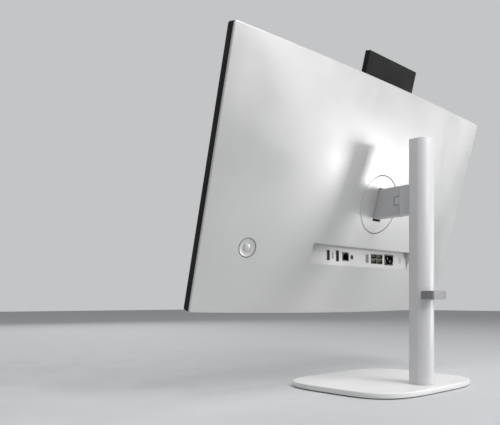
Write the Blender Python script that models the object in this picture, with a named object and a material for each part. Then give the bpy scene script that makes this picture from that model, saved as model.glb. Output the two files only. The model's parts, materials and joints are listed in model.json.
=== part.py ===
"""All-in-one computer: a domed display head on a tilting hub, a height-adjustable column and a flat base.

Frame: metres, +Z up, origin on the table under the middle of the base.
The screen faces -Y, the rear cover and its sockets face +Y, and X runs across the screen.
"""

import math

import bmesh
import bpy
from mathutils import Vector

MM = 0.001

# Clearances between neighbouring pieces
GAP = 0.3 * MM
SEAM = 0.5 * MM

# Display head: outline, thickness and the dome of its rear cover
HEAD_WIDTH = 540 * MM
HEAD_HEIGHT = 323 * MM
HEAD_CORNER = 3.5 * MM
FRAME_DEPTH = 10 * MM
FRAME_WALL = 2 * MM
COVER_WALL = 2 * MM
COVER_LIP = 2 * MM
COVER_EDGE_RISE = 11 * MM
COVER_SWELL = 24 * MM
COVER_COLUMNS = 24
COVER_ROWS = 14

# Screen stack and chassis
GLASS_THICKNESS = 1.2 * MM
LCD_SIDE_GAP = 2.5 * MM
LCD_CHIN = 13.5 * MM
LCD_TOP_GAP = 2.5 * MM
CHASSIS_THICKNESS = 1.2 * MM
CHASSIS_EDGE = 3 * MM
CHASSIS_SIDE = 24 * MM
STANDOFF_HEIGHT = 4 * MM
STANDOFF_SIZE = 7 * MM

# Vents in the top and bottom walls of the rear cover
VENT_LENGTH = 8 * MM
VENT_WIDTH = 2 * MM
VENT_PITCH = 12 * MM
VENT_START = 74 * MM
VENT_COUNT = 10
VENT_DEPTH = 3.4 * MM

# Rest pose
TILT_DEG = 15
TILT_AXIS_Y = -12.6 * MM
TILT_AXIS_Z = 249.2 * MM
TILT_AXIS_DEPTH = 27.8 * MM
TILT_AXIS_DROP = 1.9 * MM
TILT_BACK_DEG = 20
TILT_FORWARD_DEG = -5

# Hub: the round plate that the head turns on, with the slot that the arm passes through
HUB_RADIUS = 40 * MM
HUB_PLATE = 2.4 * MM
HUB_SLOT_SIDE = 0.7 * MM
HUB_SLOT_SPARE = 0.7 * MM
DRUM_RADIUS = 34 * MM
DRUM_FLOOR = 3 * MM
DRUM_DEPTH = 24 * MM
MOUNT_WALL = 10 * MM
MOUNT_LIP = 3 * MM
PIN_RADIUS = 4 * MM
PIN_OVERHANG = 12 * MM
PIN_END_WALL = 3 * MM

# Arm between the hub and the column
ARM_WIDTH = 16 * MM
ARM_HEIGHT = 39 * MM
ARM_START = 9 * MM
ARM_RAKE = 0.22
ARM_SEAM = 45 * MM
ARM_CORE_WIDTH = 9 * MM
ARM_CORE_HEIGHT = 24 * MM
ARM_CORNER = 1.2 * MM
TONGUE_LENGTH = 7 * MM
TONGUE_HEIGHT = 10 * MM
TONGUE_THICKNESS = 2 * MM

# Column, carriage and base
BASE_WIDTH = 230 * MM
BASE_DEPTH = 183 * MM
BASE_THICKNESS = 7 * MM
BASE_EDGE = 1.6 * MM
BASE_SQUARENESS = 4
BASE_STEPS = 72
FOOT_HEIGHT = 1.2 * MM
FOOT_RECESS = 1 * MM
FOOT_RADIUS = 9 * MM
FOOT_INSET_X = 81 * MM
FOOT_INSET_Y = 60 * MM
WEIGHT_WIDTH = 130 * MM
WEIGHT_DEPTH = 90 * MM
WEIGHT_THICKNESS = 3 * MM
WEIGHT_CORNER = 12 * MM
COLUMN_WIDTH = 30.4 * MM
COLUMN_DEPTH = 26 * MM
COLUMN_FRONT = 51 * MM
COLUMN_TOP = 325 * MM
COLUMN_FRONT_CORNER = 3 * MM
COLUMN_BACK_RADIUS = 15.5 * MM
COLUMN_BACK_STEPS = 16
COLUMN_WALL = 2 * MM
COLUMN_SLOT = 11 * MM
COLUMN_CAP = 3 * MM
RAIL_WIDTH = 3 * MM
RAIL_DEPTH = 7.9 * MM
FOOT_BLOCK_HEIGHT = 60 * MM
BOLT_RADIUS = 2.5 * MM
BOLT_HEAD_RADIUS = 4.5 * MM
BOLT_HEAD_HEIGHT = 2.5 * MM
BOLT_LENGTH = 18 * MM
BOLT_SPACING = 18 * MM
CARRIAGE_BELOW = 50 * MM
CARRIAGE_ABOVE = 20 * MM
CARRIAGE_BACK_SPARE = 4.4 * MM
COIL_RADIUS = 5.5 * MM
COIL_HEIGHT = 22 * MM
COIL_LIFT = 3 * MM
HEIGHT_UP = 45 * MM
HEIGHT_DOWN = 60 * MM

# Cable clip on the back of the column
CLIP_WIDTH = 33 * MM
CLIP_REACH = 10.5 * MM
CLIP_WRAP = 6.8 * MM
CLIP_HEIGHT = 10.5 * MM
CLIP_WALL = 2.6 * MM
CLIP_BOTTOM = 118 * MM

# Pop-up camera
CAMERA_WIDTH = 109 * MM
CAMERA_THICKNESS = 8.6 * MM
CAMERA_RAISED = 29.5 * MM
CAMERA_HEIGHT = 48.5 * MM
CAMERA_FRONT = 2 * MM
CAMERA_CORNER = 1.6 * MM
CAMERA_LENS_RADIUS = 3.2 * MM
CAMERA_LENS_DROP = 11 * MM
CAMERA_LENS_WELL = 2 * MM
GUIDE_WALL = 1.6 * MM
GUIDE_DROP = 14 * MM
GUIDE_FLOOR = 1.6 * MM

# Power button on the rear cover, almost level with the sockets
BUTTON_FROM_SIDE = 62 * MM
BUTTON_UNDER_SOCKETS = 0.7 * MM
BUTTON_RADIUS = 11.5 * MM
BUTTON_THICKNESS = 2.6 * MM
BUTTON_DISH = 1.1 * MM
BUTTON_DOME_RADIUS = 5.4 * MM
BUTTON_DOME_RISE = 1.3 * MM
BUTTON_TRAVEL = 1 * MM
BUTTON_STEM_RADIUS = 3 * MM
BUTTON_STEM = 3 * MM
SWITCH_SIZE = 9 * MM

# Socket recess: a ramp that is flush at the bottom and deepest under its ceiling
RECESS_WIDTH = 230 * MM
RECESS_MIDDLE = -6 * MM
RECESS_BOTTOM = -90 * MM
RECESS_TOP = -62 * MM
RECESS_STEP = 0.4 * MM
RECESS_CEILING = 1.6 * MM
RECESS_END = 1.6 * MM
RECESS_WALL = 2.4 * MM
SOCKET_ROW = -77.3 * MM
SOCKET_PROUD = 0.6 * MM
BOARD_THICKNESS = 1.6 * MM
IO_BOARD_WIDTH = 206 * MM
IO_BOARD_HEIGHT = 22 * MM
IO_BOARD_BEHIND = 17 * MM

# Sockets along the row: middle of each, across the head
VIDEO_X = 71.2 * MM
SLIM_X = 62.4 * MM
DISPLAY_X = 53 * MM
NETWORK_X = 36 * MM
AUDIO_X = 22.6 * MM
OPTION_X = -12.6 * MM
DATA_X = (-28.8 * MM, -43.8 * MM)
INLET_X = -68.4 * MM
LOCK_X = -101 * MM

# Sockets: width and height of each body, then what its mouth holds
VIDEO_SIZE = (5.4 * MM, 13.4 * MM)
SLIM_SIZE = (3.2 * MM, 9 * MM)
DISPLAY_SIZE = (5.8 * MM, 14.6 * MM)
NETWORK_SIZE = (13.4 * MM, 11.6 * MM)
AUDIO_RADIUS = 2.7 * MM
OPTION_SIZE = (6.4 * MM, 11.4 * MM)
DATA_SIZE = (13.8 * MM, 13.6 * MM)
INLET_SIZE = (23.4 * MM, 15.4 * MM)
LOCK_SIZE = (5.4 * MM, 8 * MM)
SOCKET_WALL = 0.8 * MM
MOUTH_DEPTH = 9 * MM
SHALLOW_MOUTH = 6 * MM
TONGUE = 1.2 * MM
SLIM_TONGUE = 0.7 * MM
LATCH_HALF = 3 * MM
LATCH_HEIGHT = 3 * MM
AUDIO_BORE = 1.5 * MM
SLAT_DEPTH = 0.8 * MM
SLAT_HALF = 0.5 * MM
SLAT_INSET = 1 * MM
SLAT_PITCH = 2 * MM
SLAT_COUNT = 5
DATA_MOUTH = 5 * MM
INLET_WALL = 1.2 * MM
INLET_CROP = 5 * MM
BLADE_SIZE = (1.6 * MM, 3.6 * MM)
BLADE_BACK = 2 * MM
BLADE_RISE = 2 * MM
BLADE_SPREAD = 6.4 * MM
LOCK_SLOT = (2.6 * MM, 5.8 * MM)

# Electronics behind the chassis: width, height and thickness of each
BOARD_SIZE = (150 * MM, 130 * MM, BOARD_THICKNESS)
SUPPLY_SIZE = (124 * MM, 96 * MM, 12 * MM)
HEATSINK_SIZE = (74 * MM, 48 * MM, 9 * MM)
SSD_SIZE = (80 * MM, 22 * MM, 2.4 * MM)
MEMORY_SIZE = (40 * MM, 30 * MM, 3 * MM)
WIFI_SIZE = (22 * MM, 30 * MM, 2.4 * MM)
SPEAKER_SIZE = (66 * MM, 26 * MM, 6 * MM)
HEATSINK_FINS = 12

# Places of the electronics: beside the hub's mount, from the middle of the board, or from the lower corners
BOARD_FROM_MOUNT = 15 * MM
BOARD_UP = 5 * MM
SUPPLY_FROM_MOUNT = 29 * MM
SUPPLY_UP = 5 * MM
HEATSINK_ON_BOARD = (-22 * MM, 25 * MM)
SSD_ON_BOARD = (26 * MM, -49 * MM)
MEMORY_ON_BOARD = (-38 * MM, -45 * MM)
WIFI_ON_BOARD = (52 * MM, 15 * MM)
SPEAKER_FROM_SIDE = 122 * MM
SPEAKER_FROM_BOTTOM = 34.5 * MM

# Blower above the board, and the heat pipe that reaches it
BLOWER_ACROSS_BOARD = 4 * MM
BLOWER_FROM_BOARD = 6 * MM
BLOWER_SIZE = 56 * MM
BLOWER_HEIGHT = 9 * MM
BLOWER_WALL = 1.5 * MM
BLOWER_CLEAR = 1.2 * MM
IMPELLER_RADIUS = 22 * MM
IMPELLER_HUB = 9 * MM
IMPELLER_BLADES = 17
INTAKE_RADIUS = 17 * MM
SPINDLE_RADIUS = 1.5 * MM
PIPE_WIDTH = 8 * MM
PIPE_THICKNESS = 3 * MM

ROUND_STEPS = 40
CORNER_STEPS = 4

TILT = math.radians(TILT_DEG)
HALF_WIDTH = HEAD_WIDTH / 2
HALF_HEIGHT = HEAD_HEIGHT / 2
BASE_BOTTOM = FOOT_HEIGHT
BASE_TOP = BASE_BOTTOM + BASE_THICKNESS
COLUMN_BACK = COLUMN_FRONT + COLUMN_DEPTH
COLUMN_MIDDLE = COLUMN_FRONT + COLUMN_DEPTH / 2
CHASSIS_BACK = GAP + CHASSIS_THICKNESS
BUTTON_X = HALF_WIDTH - BUTTON_FROM_SIDE
BUTTON_V = SOCKET_ROW - BUTTON_UNDER_SOCKETS
MOUNT_RADIUS = DRUM_RADIUS + MOUNT_WALL
BOARD_PLACE = (MOUNT_RADIUS + BOARD_FROM_MOUNT + BOARD_SIZE[0] / 2, BOARD_UP)
SUPPLY_PLACE = (-MOUNT_RADIUS - SUPPLY_FROM_MOUNT - SUPPLY_SIZE[0] / 2, SUPPLY_UP)
BLOWER_X = BOARD_PLACE[0] + BLOWER_ACROSS_BOARD
BLOWER_V = BOARD_PLACE[1] + BOARD_SIZE[1] / 2 + BLOWER_FROM_BOARD + BLOWER_SIZE / 2


# Materials

def material(name, colour, roughness, metallic=0.0):
    """A plain Principled finish in the piece's own colour."""
    made = bpy.data.materials.get(name) or bpy.data.materials.new(name)
    made.use_nodes = True
    shader = made.node_tree.nodes["Principled BSDF"]
    shader.inputs["Base Color"].default_value = (*colour, 1)
    shader.inputs["Roughness"].default_value = roughness
    shader.inputs["Metallic"].default_value = metallic
    return made


FINISHES = {
    "silver_paint": ((0.72, 0.72, 0.71), 0.4, 0.0),
    "anodised_aluminium": ((0.70, 0.70, 0.70), 0.35, 0.9),
    "grey_plastic": ((0.28, 0.28, 0.28), 0.5, 0.0),
    "dark_plastic": ((0.03, 0.03, 0.032), 0.5, 0.0),
    "black_plastic": ((0.008, 0.008, 0.008), 0.6, 0.0),
    "black_rubber": ((0.015, 0.015, 0.015), 0.85, 0.0),
    "steel": ((0.45, 0.45, 0.46), 0.4, 1.0),
    "screen_glass": ((0.01, 0.01, 0.012), 0.1, 0.0),
    "circuit_board": ((0.02, 0.10, 0.05), 0.5, 0.0),
    "copper": ((0.75, 0.36, 0.20), 0.35, 1.0),
}


# Mesh helpers

def new_object(name, bm, finish, parent=None):
    """Turns a bmesh into a named object, with its faces pointing out."""
    bmesh.ops.recalc_face_normals(bm, faces=bm.faces)
    mesh = bpy.data.meshes.new(name)
    bm.to_mesh(mesh)
    bm.free()
    made = bpy.data.objects.new(name, mesh)
    bpy.context.scene.collection.objects.link(made)
    if finish:
        mesh.materials.append(material(finish, *FINISHES[finish]))
    made.parent = parent
    return made


def empty(name, location, parent=None, tilt=0.0):
    """A carrier that others are parented to, turned about X."""
    made = bpy.data.objects.new(name, None)
    bpy.context.scene.collection.objects.link(made)
    made.parent = parent
    made.location = location
    made.rotation_euler = (tilt, 0, 0)
    return made


def cut(target, cutter, operation="DIFFERENCE"):
    """Cuts target with, or joins it to, a helper that isn't shown."""
    cutter.hide_render = True
    cutter.display_type = "WIRE"
    modifier = target.modifiers.new(cutter.name, "BOOLEAN")
    modifier.operation = operation
    modifier.object = cutter
    modifier.solver = "EXACT"
    return target


def smooth(target, angle=30):
    """Smooth shading with sharp edges kept."""
    target.data.shade_smooth()
    target.data.set_sharp_from_angle(angle=math.radians(angle))
    return target


def add_box(bm, low, high):
    """Adds one box between two corners and returns its vertices."""
    centre = (Vector(low) + Vector(high)) / 2
    size = Vector(high) - Vector(low)
    corners = bmesh.ops.create_cube(bm, size=1)["verts"]
    bmesh.ops.scale(bm, vec=size, verts=corners)
    bmesh.ops.translate(bm, vec=centre, verts=corners)
    return corners


def box(name, low, high, finish, parent=None, round_edges=0.0):
    """A box between two corners, with its edges rounded a little if asked."""
    bm = bmesh.new()
    add_box(bm, low, high)
    if round_edges:
        bmesh.ops.bevel(bm, geom=bm.edges[:], offset=round_edges, segments=2, affect="EDGES", profile=0.5)
    return new_object(name, bm, finish, parent)


def sized_box(name, place, size, depth, finish, parent):
    """A box given by its middle, width, height and thickness, standing on the depth given."""
    x, v = place
    width, height, thickness = size
    low = (x - width / 2, depth, v - height / 2)
    high = (x + width / 2, depth + thickness, v + height / 2)
    return box(name, low, high, finish, parent)


def rounded_rectangle(width, height, corner, steps=CORNER_STEPS):
    """Rectangle with arcs at its corners, anticlockwise."""
    points = []
    for quarter, (sx, sy) in enumerate(((1, 1), (-1, 1), (-1, -1), (1, -1))):
        cx = sx * (width / 2 - corner)
        cy = sy * (height / 2 - corner)
        for step in range(steps + 1):
            angle = math.radians(90 * (quarter + step / steps))
            points.append((cx + corner * math.cos(angle), cy + corner * math.sin(angle)))
    return points


def circle(radius, steps=ROUND_STEPS, centre=(0, 0)):
    """Outline points of a circle."""
    turns = (math.tau * step / steps for step in range(steps))
    return [(centre[0] + radius * math.cos(t), centre[1] + radius * math.sin(t)) for t in turns]


def add_prism(bm, outline, low, high, axis="Z"):
    """Adds an outline carried from low to high along Z, or along Y where the outline lies in X and Z."""
    def place(point, level):
        return (point[0], level, point[1]) if axis == "Y" else (point[0], point[1], level)

    under = [bm.verts.new(place(point, low)) for point in outline]
    over = [bm.verts.new(place(point, high)) for point in outline]
    bm.faces.new(under)
    bm.faces.new(over)
    for i in range(len(outline)):
        j = (i + 1) % len(outline)
        bm.faces.new((under[i], under[j], over[j], over[i]))


def prism(name, outline, low, high, finish, parent=None, axis="Z"):
    """One solid carried straight along an axis."""
    bm = bmesh.new()
    add_prism(bm, outline, low, high, axis)
    return new_object(name, bm, finish, parent)


def turned(name, profile, finish, parent=None, steps=ROUND_STEPS):
    """A solid turned about Y from (radius, depth) points that end on the axis or close a ring."""
    bm = bmesh.new()
    rings = []
    for radius, depth in profile:
        if radius == 0:
            rings.append([bm.verts.new((0, depth, 0))])
        else:
            rings.append([bm.verts.new((x, depth, z)) for x, z in circle(radius, steps)])
    closed = profile[0][0] > 0
    for a, b in zip(rings, rings[1:] + rings[:1] if closed else rings[1:]):
        for i in range(steps):
            j = (i + 1) % steps
            corners = [a[i % len(a)], a[j % len(a)], b[j % len(b)], b[i % len(b)]]
            bm.faces.new(list(dict.fromkeys(corners)))
    return new_object(name, bm, finish, parent)


def lofted(name, sections, finish, parent=None):
    """A solid through closed sections with the same number of points, with flat ends."""
    bm = bmesh.new()
    rings = [[bm.verts.new(point) for point in section] for section in sections]
    bm.faces.new(rings[0])
    bm.faces.new(rings[-1])
    for a, b in zip(rings, rings[1:]):
        for i in range(len(a)):
            j = (i + 1) % len(a)
            bm.faces.new((a[i], a[j], b[j], b[i]))
    return new_object(name, bm, finish, parent)


# The dome of the rear cover, as depth behind the frame's back plane

def dome_depth(x, v):
    """Depth of the cover's outer face: a parabola across, over a swell that fades to top and bottom."""
    across = max(0.0, 1 - (x / HALF_WIDTH) ** 2)
    along = max(0.0, 1 - (v / HALF_HEIGHT) ** 2)
    return COVER_LIP + (COVER_EDGE_RISE + COVER_SWELL * along) * across


def dome_normal(x, v):
    """Outward direction of the cover's face at a place on it."""
    step = 0.1 * MM
    slope_x = (dome_depth(x + step, v) - dome_depth(x - step, v)) / (2 * step)
    slope_v = (dome_depth(x, v + step) - dome_depth(x, v - step)) / (2 * step)
    return Vector((-slope_x, 1, -slope_v)).normalized()


def dome_solid(name, inset, floor, drop, finish, parent):
    """The space under the dome, from a flat floor up, taken in at the sides and lowered by drop."""
    bm = bmesh.new()
    half_x = HALF_WIDTH - inset
    half_v = HALF_HEIGHT - inset
    grid = []
    for row in range(COVER_ROWS + 1):
        v = half_v * (2 * row / COVER_ROWS - 1)
        line = []
        for column in range(COVER_COLUMNS + 1):
            x = half_x * (2 * column / COVER_COLUMNS - 1)
            line.append(bm.verts.new((x, dome_depth(x, v) - drop, v)))
        grid.append(line)
    for low, high in zip(grid, grid[1:]):
        for i in range(COVER_COLUMNS):
            bm.faces.new((low[i], low[i + 1], high[i + 1], high[i]))
    rim = grid[0] + [line[-1] for line in grid[1:-1]] + grid[-1][::-1] + [line[0] for line in grid[-2:0:-1]]
    under = [bm.verts.new((vert.co.x, floor, vert.co.z)) for vert in rim]
    bm.faces.new(under)
    for i in range(len(rim)):
        j = (i + 1) % len(rim)
        bm.faces.new((rim[i], rim[j], under[j], under[i]))
    corners = (grid[0][0], grid[0][-1], grid[-1][0], grid[-1][-1])
    uprights = [e for vert in corners for e in vert.link_edges if e.other_vert(vert) in under]
    radius = max(HEAD_CORNER - inset, 1 * MM)
    bmesh.ops.bevel(bm, geom=uprights, offset=radius, segments=CORNER_STEPS, affect="EDGES", profile=0.5)
    return new_object(name, bm, finish, parent)


# Base

def superellipse(width, depth):
    """Outline of the base: |x/a|^n + |y/b|^n = 1."""
    power = 2 / BASE_SQUARENESS
    points = []
    for step in range(BASE_STEPS):
        angle = math.tau * step / BASE_STEPS
        c, s = math.cos(angle), math.sin(angle)
        points.append((
            width / 2 * math.copysign(abs(c) ** power, c),
            depth / 2 * math.copysign(abs(s) ** power, s),
        ))
    return points


def foot_places():
    """Name and place of each rubber foot."""
    for side, x in (("left", -FOOT_INSET_X), ("right", FOOT_INSET_X)):
        for end, y in (("front", -FOOT_INSET_Y), ("rear", FOOT_INSET_Y)):
            yield f"foot_{end}_{side}", x, y


def bolt_places():
    """Name and place across of each bolt that holds the column to the base."""
    return (("column_bolt_left", -BOLT_SPACING / 2), ("column_bolt_right", BOLT_SPACING / 2))


def make_base():
    """Flat base with rounded edges, a weight let into its underside, four feet and two bolts."""
    bm = bmesh.new()
    rings = []
    for take_in, level in ((BASE_EDGE, 0), (0, BASE_EDGE), (0, BASE_THICKNESS - BASE_EDGE),
                           (BASE_EDGE * 0.3, BASE_THICKNESS - BASE_EDGE * 0.3), (BASE_EDGE, BASE_THICKNESS)):
        outline = superellipse(BASE_WIDTH - 2 * take_in, BASE_DEPTH - 2 * take_in)
        rings.append([bm.verts.new((x, y, BASE_BOTTOM + level)) for x, y in outline])
    bm.faces.new(rings[0])
    bm.faces.new(rings[-1])
    for a, b in zip(rings, rings[1:]):
        for i in range(BASE_STEPS):
            j = (i + 1) % BASE_STEPS
            bm.faces.new((a[i], a[j], b[j], b[i]))
    base = new_object("base_plate", bm, "silver_paint")

    holes = bmesh.new()
    pocket = rounded_rectangle(WEIGHT_WIDTH, WEIGHT_DEPTH, WEIGHT_CORNER)
    pocket_top = BASE_BOTTOM + WEIGHT_THICKNESS
    add_prism(holes, pocket, BASE_BOTTOM - MM, pocket_top)
    for _, x, y in foot_places():
        foot_hole = circle(FOOT_RADIUS + GAP, centre=(x, y))
        add_prism(holes, foot_hole, BASE_BOTTOM - MM, BASE_BOTTOM + FOOT_RECESS)
    cut(base, new_object("base_pocket_cutter", holes, None))

    drill = bmesh.new()
    sink = bmesh.new()
    for _, x in bolt_places():
        add_prism(drill, circle(BOLT_RADIUS + GAP, 20, (x, COLUMN_MIDDLE)), BASE_BOTTOM - MM, BASE_TOP + MM)
        head_hole = circle(BOLT_HEAD_RADIUS + GAP, 20, (x, COLUMN_MIDDLE))
        add_prism(sink, head_hole, BASE_BOTTOM - MM, BASE_BOTTOM + BOLT_HEAD_HEIGHT + GAP)
    cut(base, new_object("base_bolt_cutter", drill, None))
    cut(base, new_object("base_sink_cutter", sink, None))
    smooth(base, 25)

    weight = rounded_rectangle(WEIGHT_WIDTH - 2 * GAP, WEIGHT_DEPTH - 2 * GAP, WEIGHT_CORNER - GAP)
    prism("base_weight", weight, BASE_BOTTOM, pocket_top - GAP, "steel")
    for name, x, y in foot_places():
        prism(name, circle(FOOT_RADIUS, 28, (x, y)), 0, BASE_BOTTOM + FOOT_RECESS - GAP, "black_rubber")


# Column

def column_outline(inset=0.0):
    """Section of the column in X and Y: flat in front and at its sides, with an arched back."""
    half, front = COLUMN_WIDTH / 2 - inset, COLUMN_FRONT + inset
    radius, middle = COLUMN_BACK_RADIUS - inset, COLUMN_BACK - COLUMN_BACK_RADIUS
    sweep = math.asin(half / radius)
    outline = []
    for step in range(COLUMN_BACK_STEPS + 1):
        angle = sweep * (1 - 2 * step / COLUMN_BACK_STEPS)
        outline.append((radius * math.sin(angle), middle + radius * math.cos(angle)))
    corner = max(COLUMN_FRONT_CORNER - inset, MM)
    for side, start in ((-1, 180), (1, 270)):
        for step in range(CORNER_STEPS + 1):
            angle = math.radians(start + 90 * step / CORNER_STEPS)
            outline.append((side * (half - corner) + corner * math.cos(angle),
                            front + corner + corner * math.sin(angle)))
    return outline


def make_column():
    """Hollow column with a slot down its front, a cap, a foot block, two rails and the cable clip."""
    bottom = BASE_TOP + GAP
    column = prism("column_shell", column_outline(), bottom, COLUMN_TOP, "anodised_aluminium")
    hollow = bmesh.new()
    add_prism(hollow, column_outline(COLUMN_WALL), bottom - MM, COLUMN_TOP + MM)
    cut(column, new_object("column_hollow_cutter", hollow, None))
    slot_low = (-COLUMN_SLOT / 2, COLUMN_FRONT - MM, bottom + FOOT_BLOCK_HEIGHT)
    slot_high = (COLUMN_SLOT / 2, COLUMN_FRONT + COLUMN_WALL + MM, COLUMN_TOP - COLUMN_CAP - MM)
    cut(column, box("column_slot_cutter", slot_low, slot_high, None))
    smooth(column, 30)

    inner = COLUMN_WALL + GAP
    prism("column_cap", column_outline(inner), COLUMN_TOP - COLUMN_CAP, COLUMN_TOP, "grey_plastic")
    block = prism("column_foot_block", column_outline(inner), bottom, bottom + FOOT_BLOCK_HEIGHT, "steel")
    drill = bmesh.new()
    for name, x in bolt_places():
        tip = BASE_BOTTOM + BOLT_LENGTH
        add_prism(drill, circle(BOLT_RADIUS + GAP, 20, (x, COLUMN_MIDDLE)), bottom - MM, tip + GAP)
        bolt = bmesh.new()
        rings = []
        head_top = BASE_BOTTOM + BOLT_HEAD_HEIGHT
        for radius, level in ((BOLT_HEAD_RADIUS, BASE_BOTTOM), (BOLT_HEAD_RADIUS, head_top),
                              (BOLT_RADIUS, head_top), (BOLT_RADIUS, tip)):
            points = circle(radius, 20, (x, COLUMN_MIDDLE))
            rings.append([bolt.verts.new((px, py, level)) for px, py in points])
        bolt.faces.new(rings[0])
        bolt.faces.new(rings[-1])
        for a, b in zip(rings, rings[1:]):
            for i in range(20):
                j = (i + 1) % 20
                bolt.faces.new((a[i], a[j], b[j], b[i]))
        smooth(new_object(name, bolt, "steel"))
    cut(block, new_object("block_bolt_cutter", drill, None))

    rail_bottom = bottom + FOOT_BLOCK_HEIGHT + GAP
    rail_top = COLUMN_TOP - COLUMN_CAP - GAP
    for name, side in (("column_rail_left", -1), ("column_rail_right", 1)):
        wall = side * (COLUMN_WIDTH / 2 - COLUMN_WALL - GAP)
        edges = sorted((wall, wall - side * RAIL_WIDTH))
        rail_front = COLUMN_FRONT + COLUMN_WALL + SEAM
        rail_back = rail_front + RAIL_DEPTH
        box(name, (edges[0], rail_front, rail_bottom), (edges[1], rail_back, rail_top), "steel")

    half = CLIP_WIDTH / 2
    near = COLUMN_BACK + GAP
    far = near + CLIP_REACH
    start = COLUMN_BACK - CLIP_WRAP
    outline = ((-half, start), (half, start), (half, far), (-half, far))
    clip = prism("cable_clip", outline, CLIP_BOTTOM, CLIP_BOTTOM + CLIP_HEIGHT, "silver_paint")
    inside = (half - CLIP_WALL, near + CLIP_WALL * 0.6, far - CLIP_WALL)
    low = (-inside[0], inside[1], CLIP_BOTTOM - MM)
    high = (inside[0], inside[2], CLIP_BOTTOM + CLIP_HEIGHT + MM)
    cut(clip, box("clip_cutter", low, high, None))
    seat = column_outline(-GAP)
    cut(clip, prism("clip_seat_cutter", seat, CLIP_BOTTOM - MM, CLIP_BOTTOM + CLIP_HEIGHT + MM, None))


# Arm and carriage

def make_arm(axis):
    """Carriage, arm core and the arm's two covers, the front one raked to stay in the hub plate's slot."""
    back = COLUMN_FRONT - TILT_AXIS_Y
    mid = COLUMN_MIDDLE - TILT_AXIS_Y
    inner_half = COLUMN_DEPTH / 2 - COLUMN_WALL - SEAM
    low_z, high_z = -CARRIAGE_BELOW, CARRIAGE_ABOVE
    rail_face = COLUMN_WIDTH / 2 - COLUMN_WALL - GAP - RAIL_WIDTH - GAP
    low = (-rail_face, mid - inner_half, low_z)
    high = (rail_face, mid + inner_half - CARRIAGE_BACK_SPARE, high_z)
    carriage = box("carriage_block", low, high, "steel", axis, round_edges=0.8 * MM)
    coil_z = low_z + COIL_HEIGHT / 2 + COIL_LIFT
    coil_half = COIL_HEIGHT / 2
    notch = COIL_RADIUS + GAP
    low = (-notch, mid - inner_half - MM, coil_z - coil_half - GAP)
    high = (notch, mid + inner_half + MM, coil_z + coil_half + GAP)
    cut(carriage, box("coil_notch_cutter", low, high, None, axis))
    coil_outline = circle(COIL_RADIUS, 24, (0, mid))
    prism("counterbalance_coil", coil_outline, coil_z - coil_half, coil_z + coil_half, "steel", axis)

    half_w = ARM_CORE_WIDTH / 2
    half_h = ARM_CORE_HEIGHT / 2
    nose = [(half_h * math.cos(a), half_h * math.sin(a))
            for a in (math.radians(90 + 180 * i / 12) for i in range(13))]
    side = [(mid - inner_half - GAP, -half_h), (mid - inner_half - GAP, half_h)]
    bm = bmesh.new()
    rings = []
    for x in (-half_w, half_w):
        rings.append([bm.verts.new((x, y, z)) for y, z in nose + side])
    bm.faces.new(rings[0])
    bm.faces.new(rings[1])
    for i in range(len(rings[0])):
        j = (i + 1) % len(rings[0])
        bm.faces.new((rings[0][i], rings[0][j], rings[1][j], rings[1][i]))
    core = new_object("arm_core", bm, "steel", axis)
    pin_hole = turned("arm_pin_cutter", [(0, -half_w - MM), (PIN_RADIUS + GAP, -half_w - MM),
                                         (PIN_RADIUS + GAP, half_w + MM), (0, half_w + MM)], None, axis)
    pin_hole.rotation_euler = (0, 0, math.radians(90))
    cut(core, pin_hole)

    tongue_top = TONGUE_HEIGHT / 2
    tunnel_low = (-half_w - GAP, -ARM_HEIGHT, -half_h - GAP)
    tunnel_high = (half_w + GAP, back + ARM_HEIGHT, half_h + GAP)
    tunnel = box("arm_tunnel_cutter", tunnel_low, tunnel_high, None, axis)
    pieces = (("arm_cover_front", ARM_START, ARM_SEAM - GAP / 2),
              ("arm_cover_rear", ARM_SEAM + GAP / 2, back - SEAM))
    for name, start, end in pieces:
        low = (-ARM_WIDTH / 2, start, -ARM_HEIGHT / 2)
        high = (ARM_WIDTH / 2, end, ARM_HEIGHT / 2)
        cover = box(name, low, high, "grey_plastic", axis, round_edges=ARM_CORNER)
        for vertex in cover.data.vertices:
            if vertex.co.y < (ARM_START + ARM_SEAM) / 2:
                vertex.co.y -= ARM_RAKE * (ARM_HEIGHT / 2 - vertex.co.z)
        tabs = bmesh.new()
        spare = GAP if name == "arm_cover_front" else 0.0
        for sign in (-1, 1):
            outer = sign * (ARM_WIDTH / 2 + (MM if spare else -0.2 * MM))
            inner = sign * (ARM_WIDTH / 2 - TONGUE_THICKNESS - spare)
            edges = sorted((outer, inner))
            tab_end = ARM_SEAM + (MM if spare else TONGUE_THICKNESS)
            add_box(tabs, (edges[0], ARM_SEAM - TONGUE_LENGTH - spare, -tongue_top - spare),
                    (edges[1], tab_end, tongue_top + spare))
        tab = new_object(name + "_tab_cutter", tabs, None, axis)
        cut(cover, tab, "DIFFERENCE" if spare else "UNION")
        cut(cover, tunnel)


# Hub

def slot_limits():
    """Lowest and highest edge of the hub slot, so that the arm clears it at both ends of its tilt."""
    reach = dome_depth(0, HUB_RADIUS) - TILT_AXIS_DEPTH
    back, forward = math.radians(TILT_BACK_DEG), math.radians(TILT_FORWARD_DEG)
    top = reach * math.tan(back) + ARM_HEIGHT / 2 / math.cos(back)
    bottom = reach * math.tan(forward) - ARM_HEIGHT / 2 / math.cos(forward)
    return bottom - TILT_AXIS_DROP - HUB_SLOT_SPARE, top - TILT_AXIS_DROP + HUB_SLOT_SPARE


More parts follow.
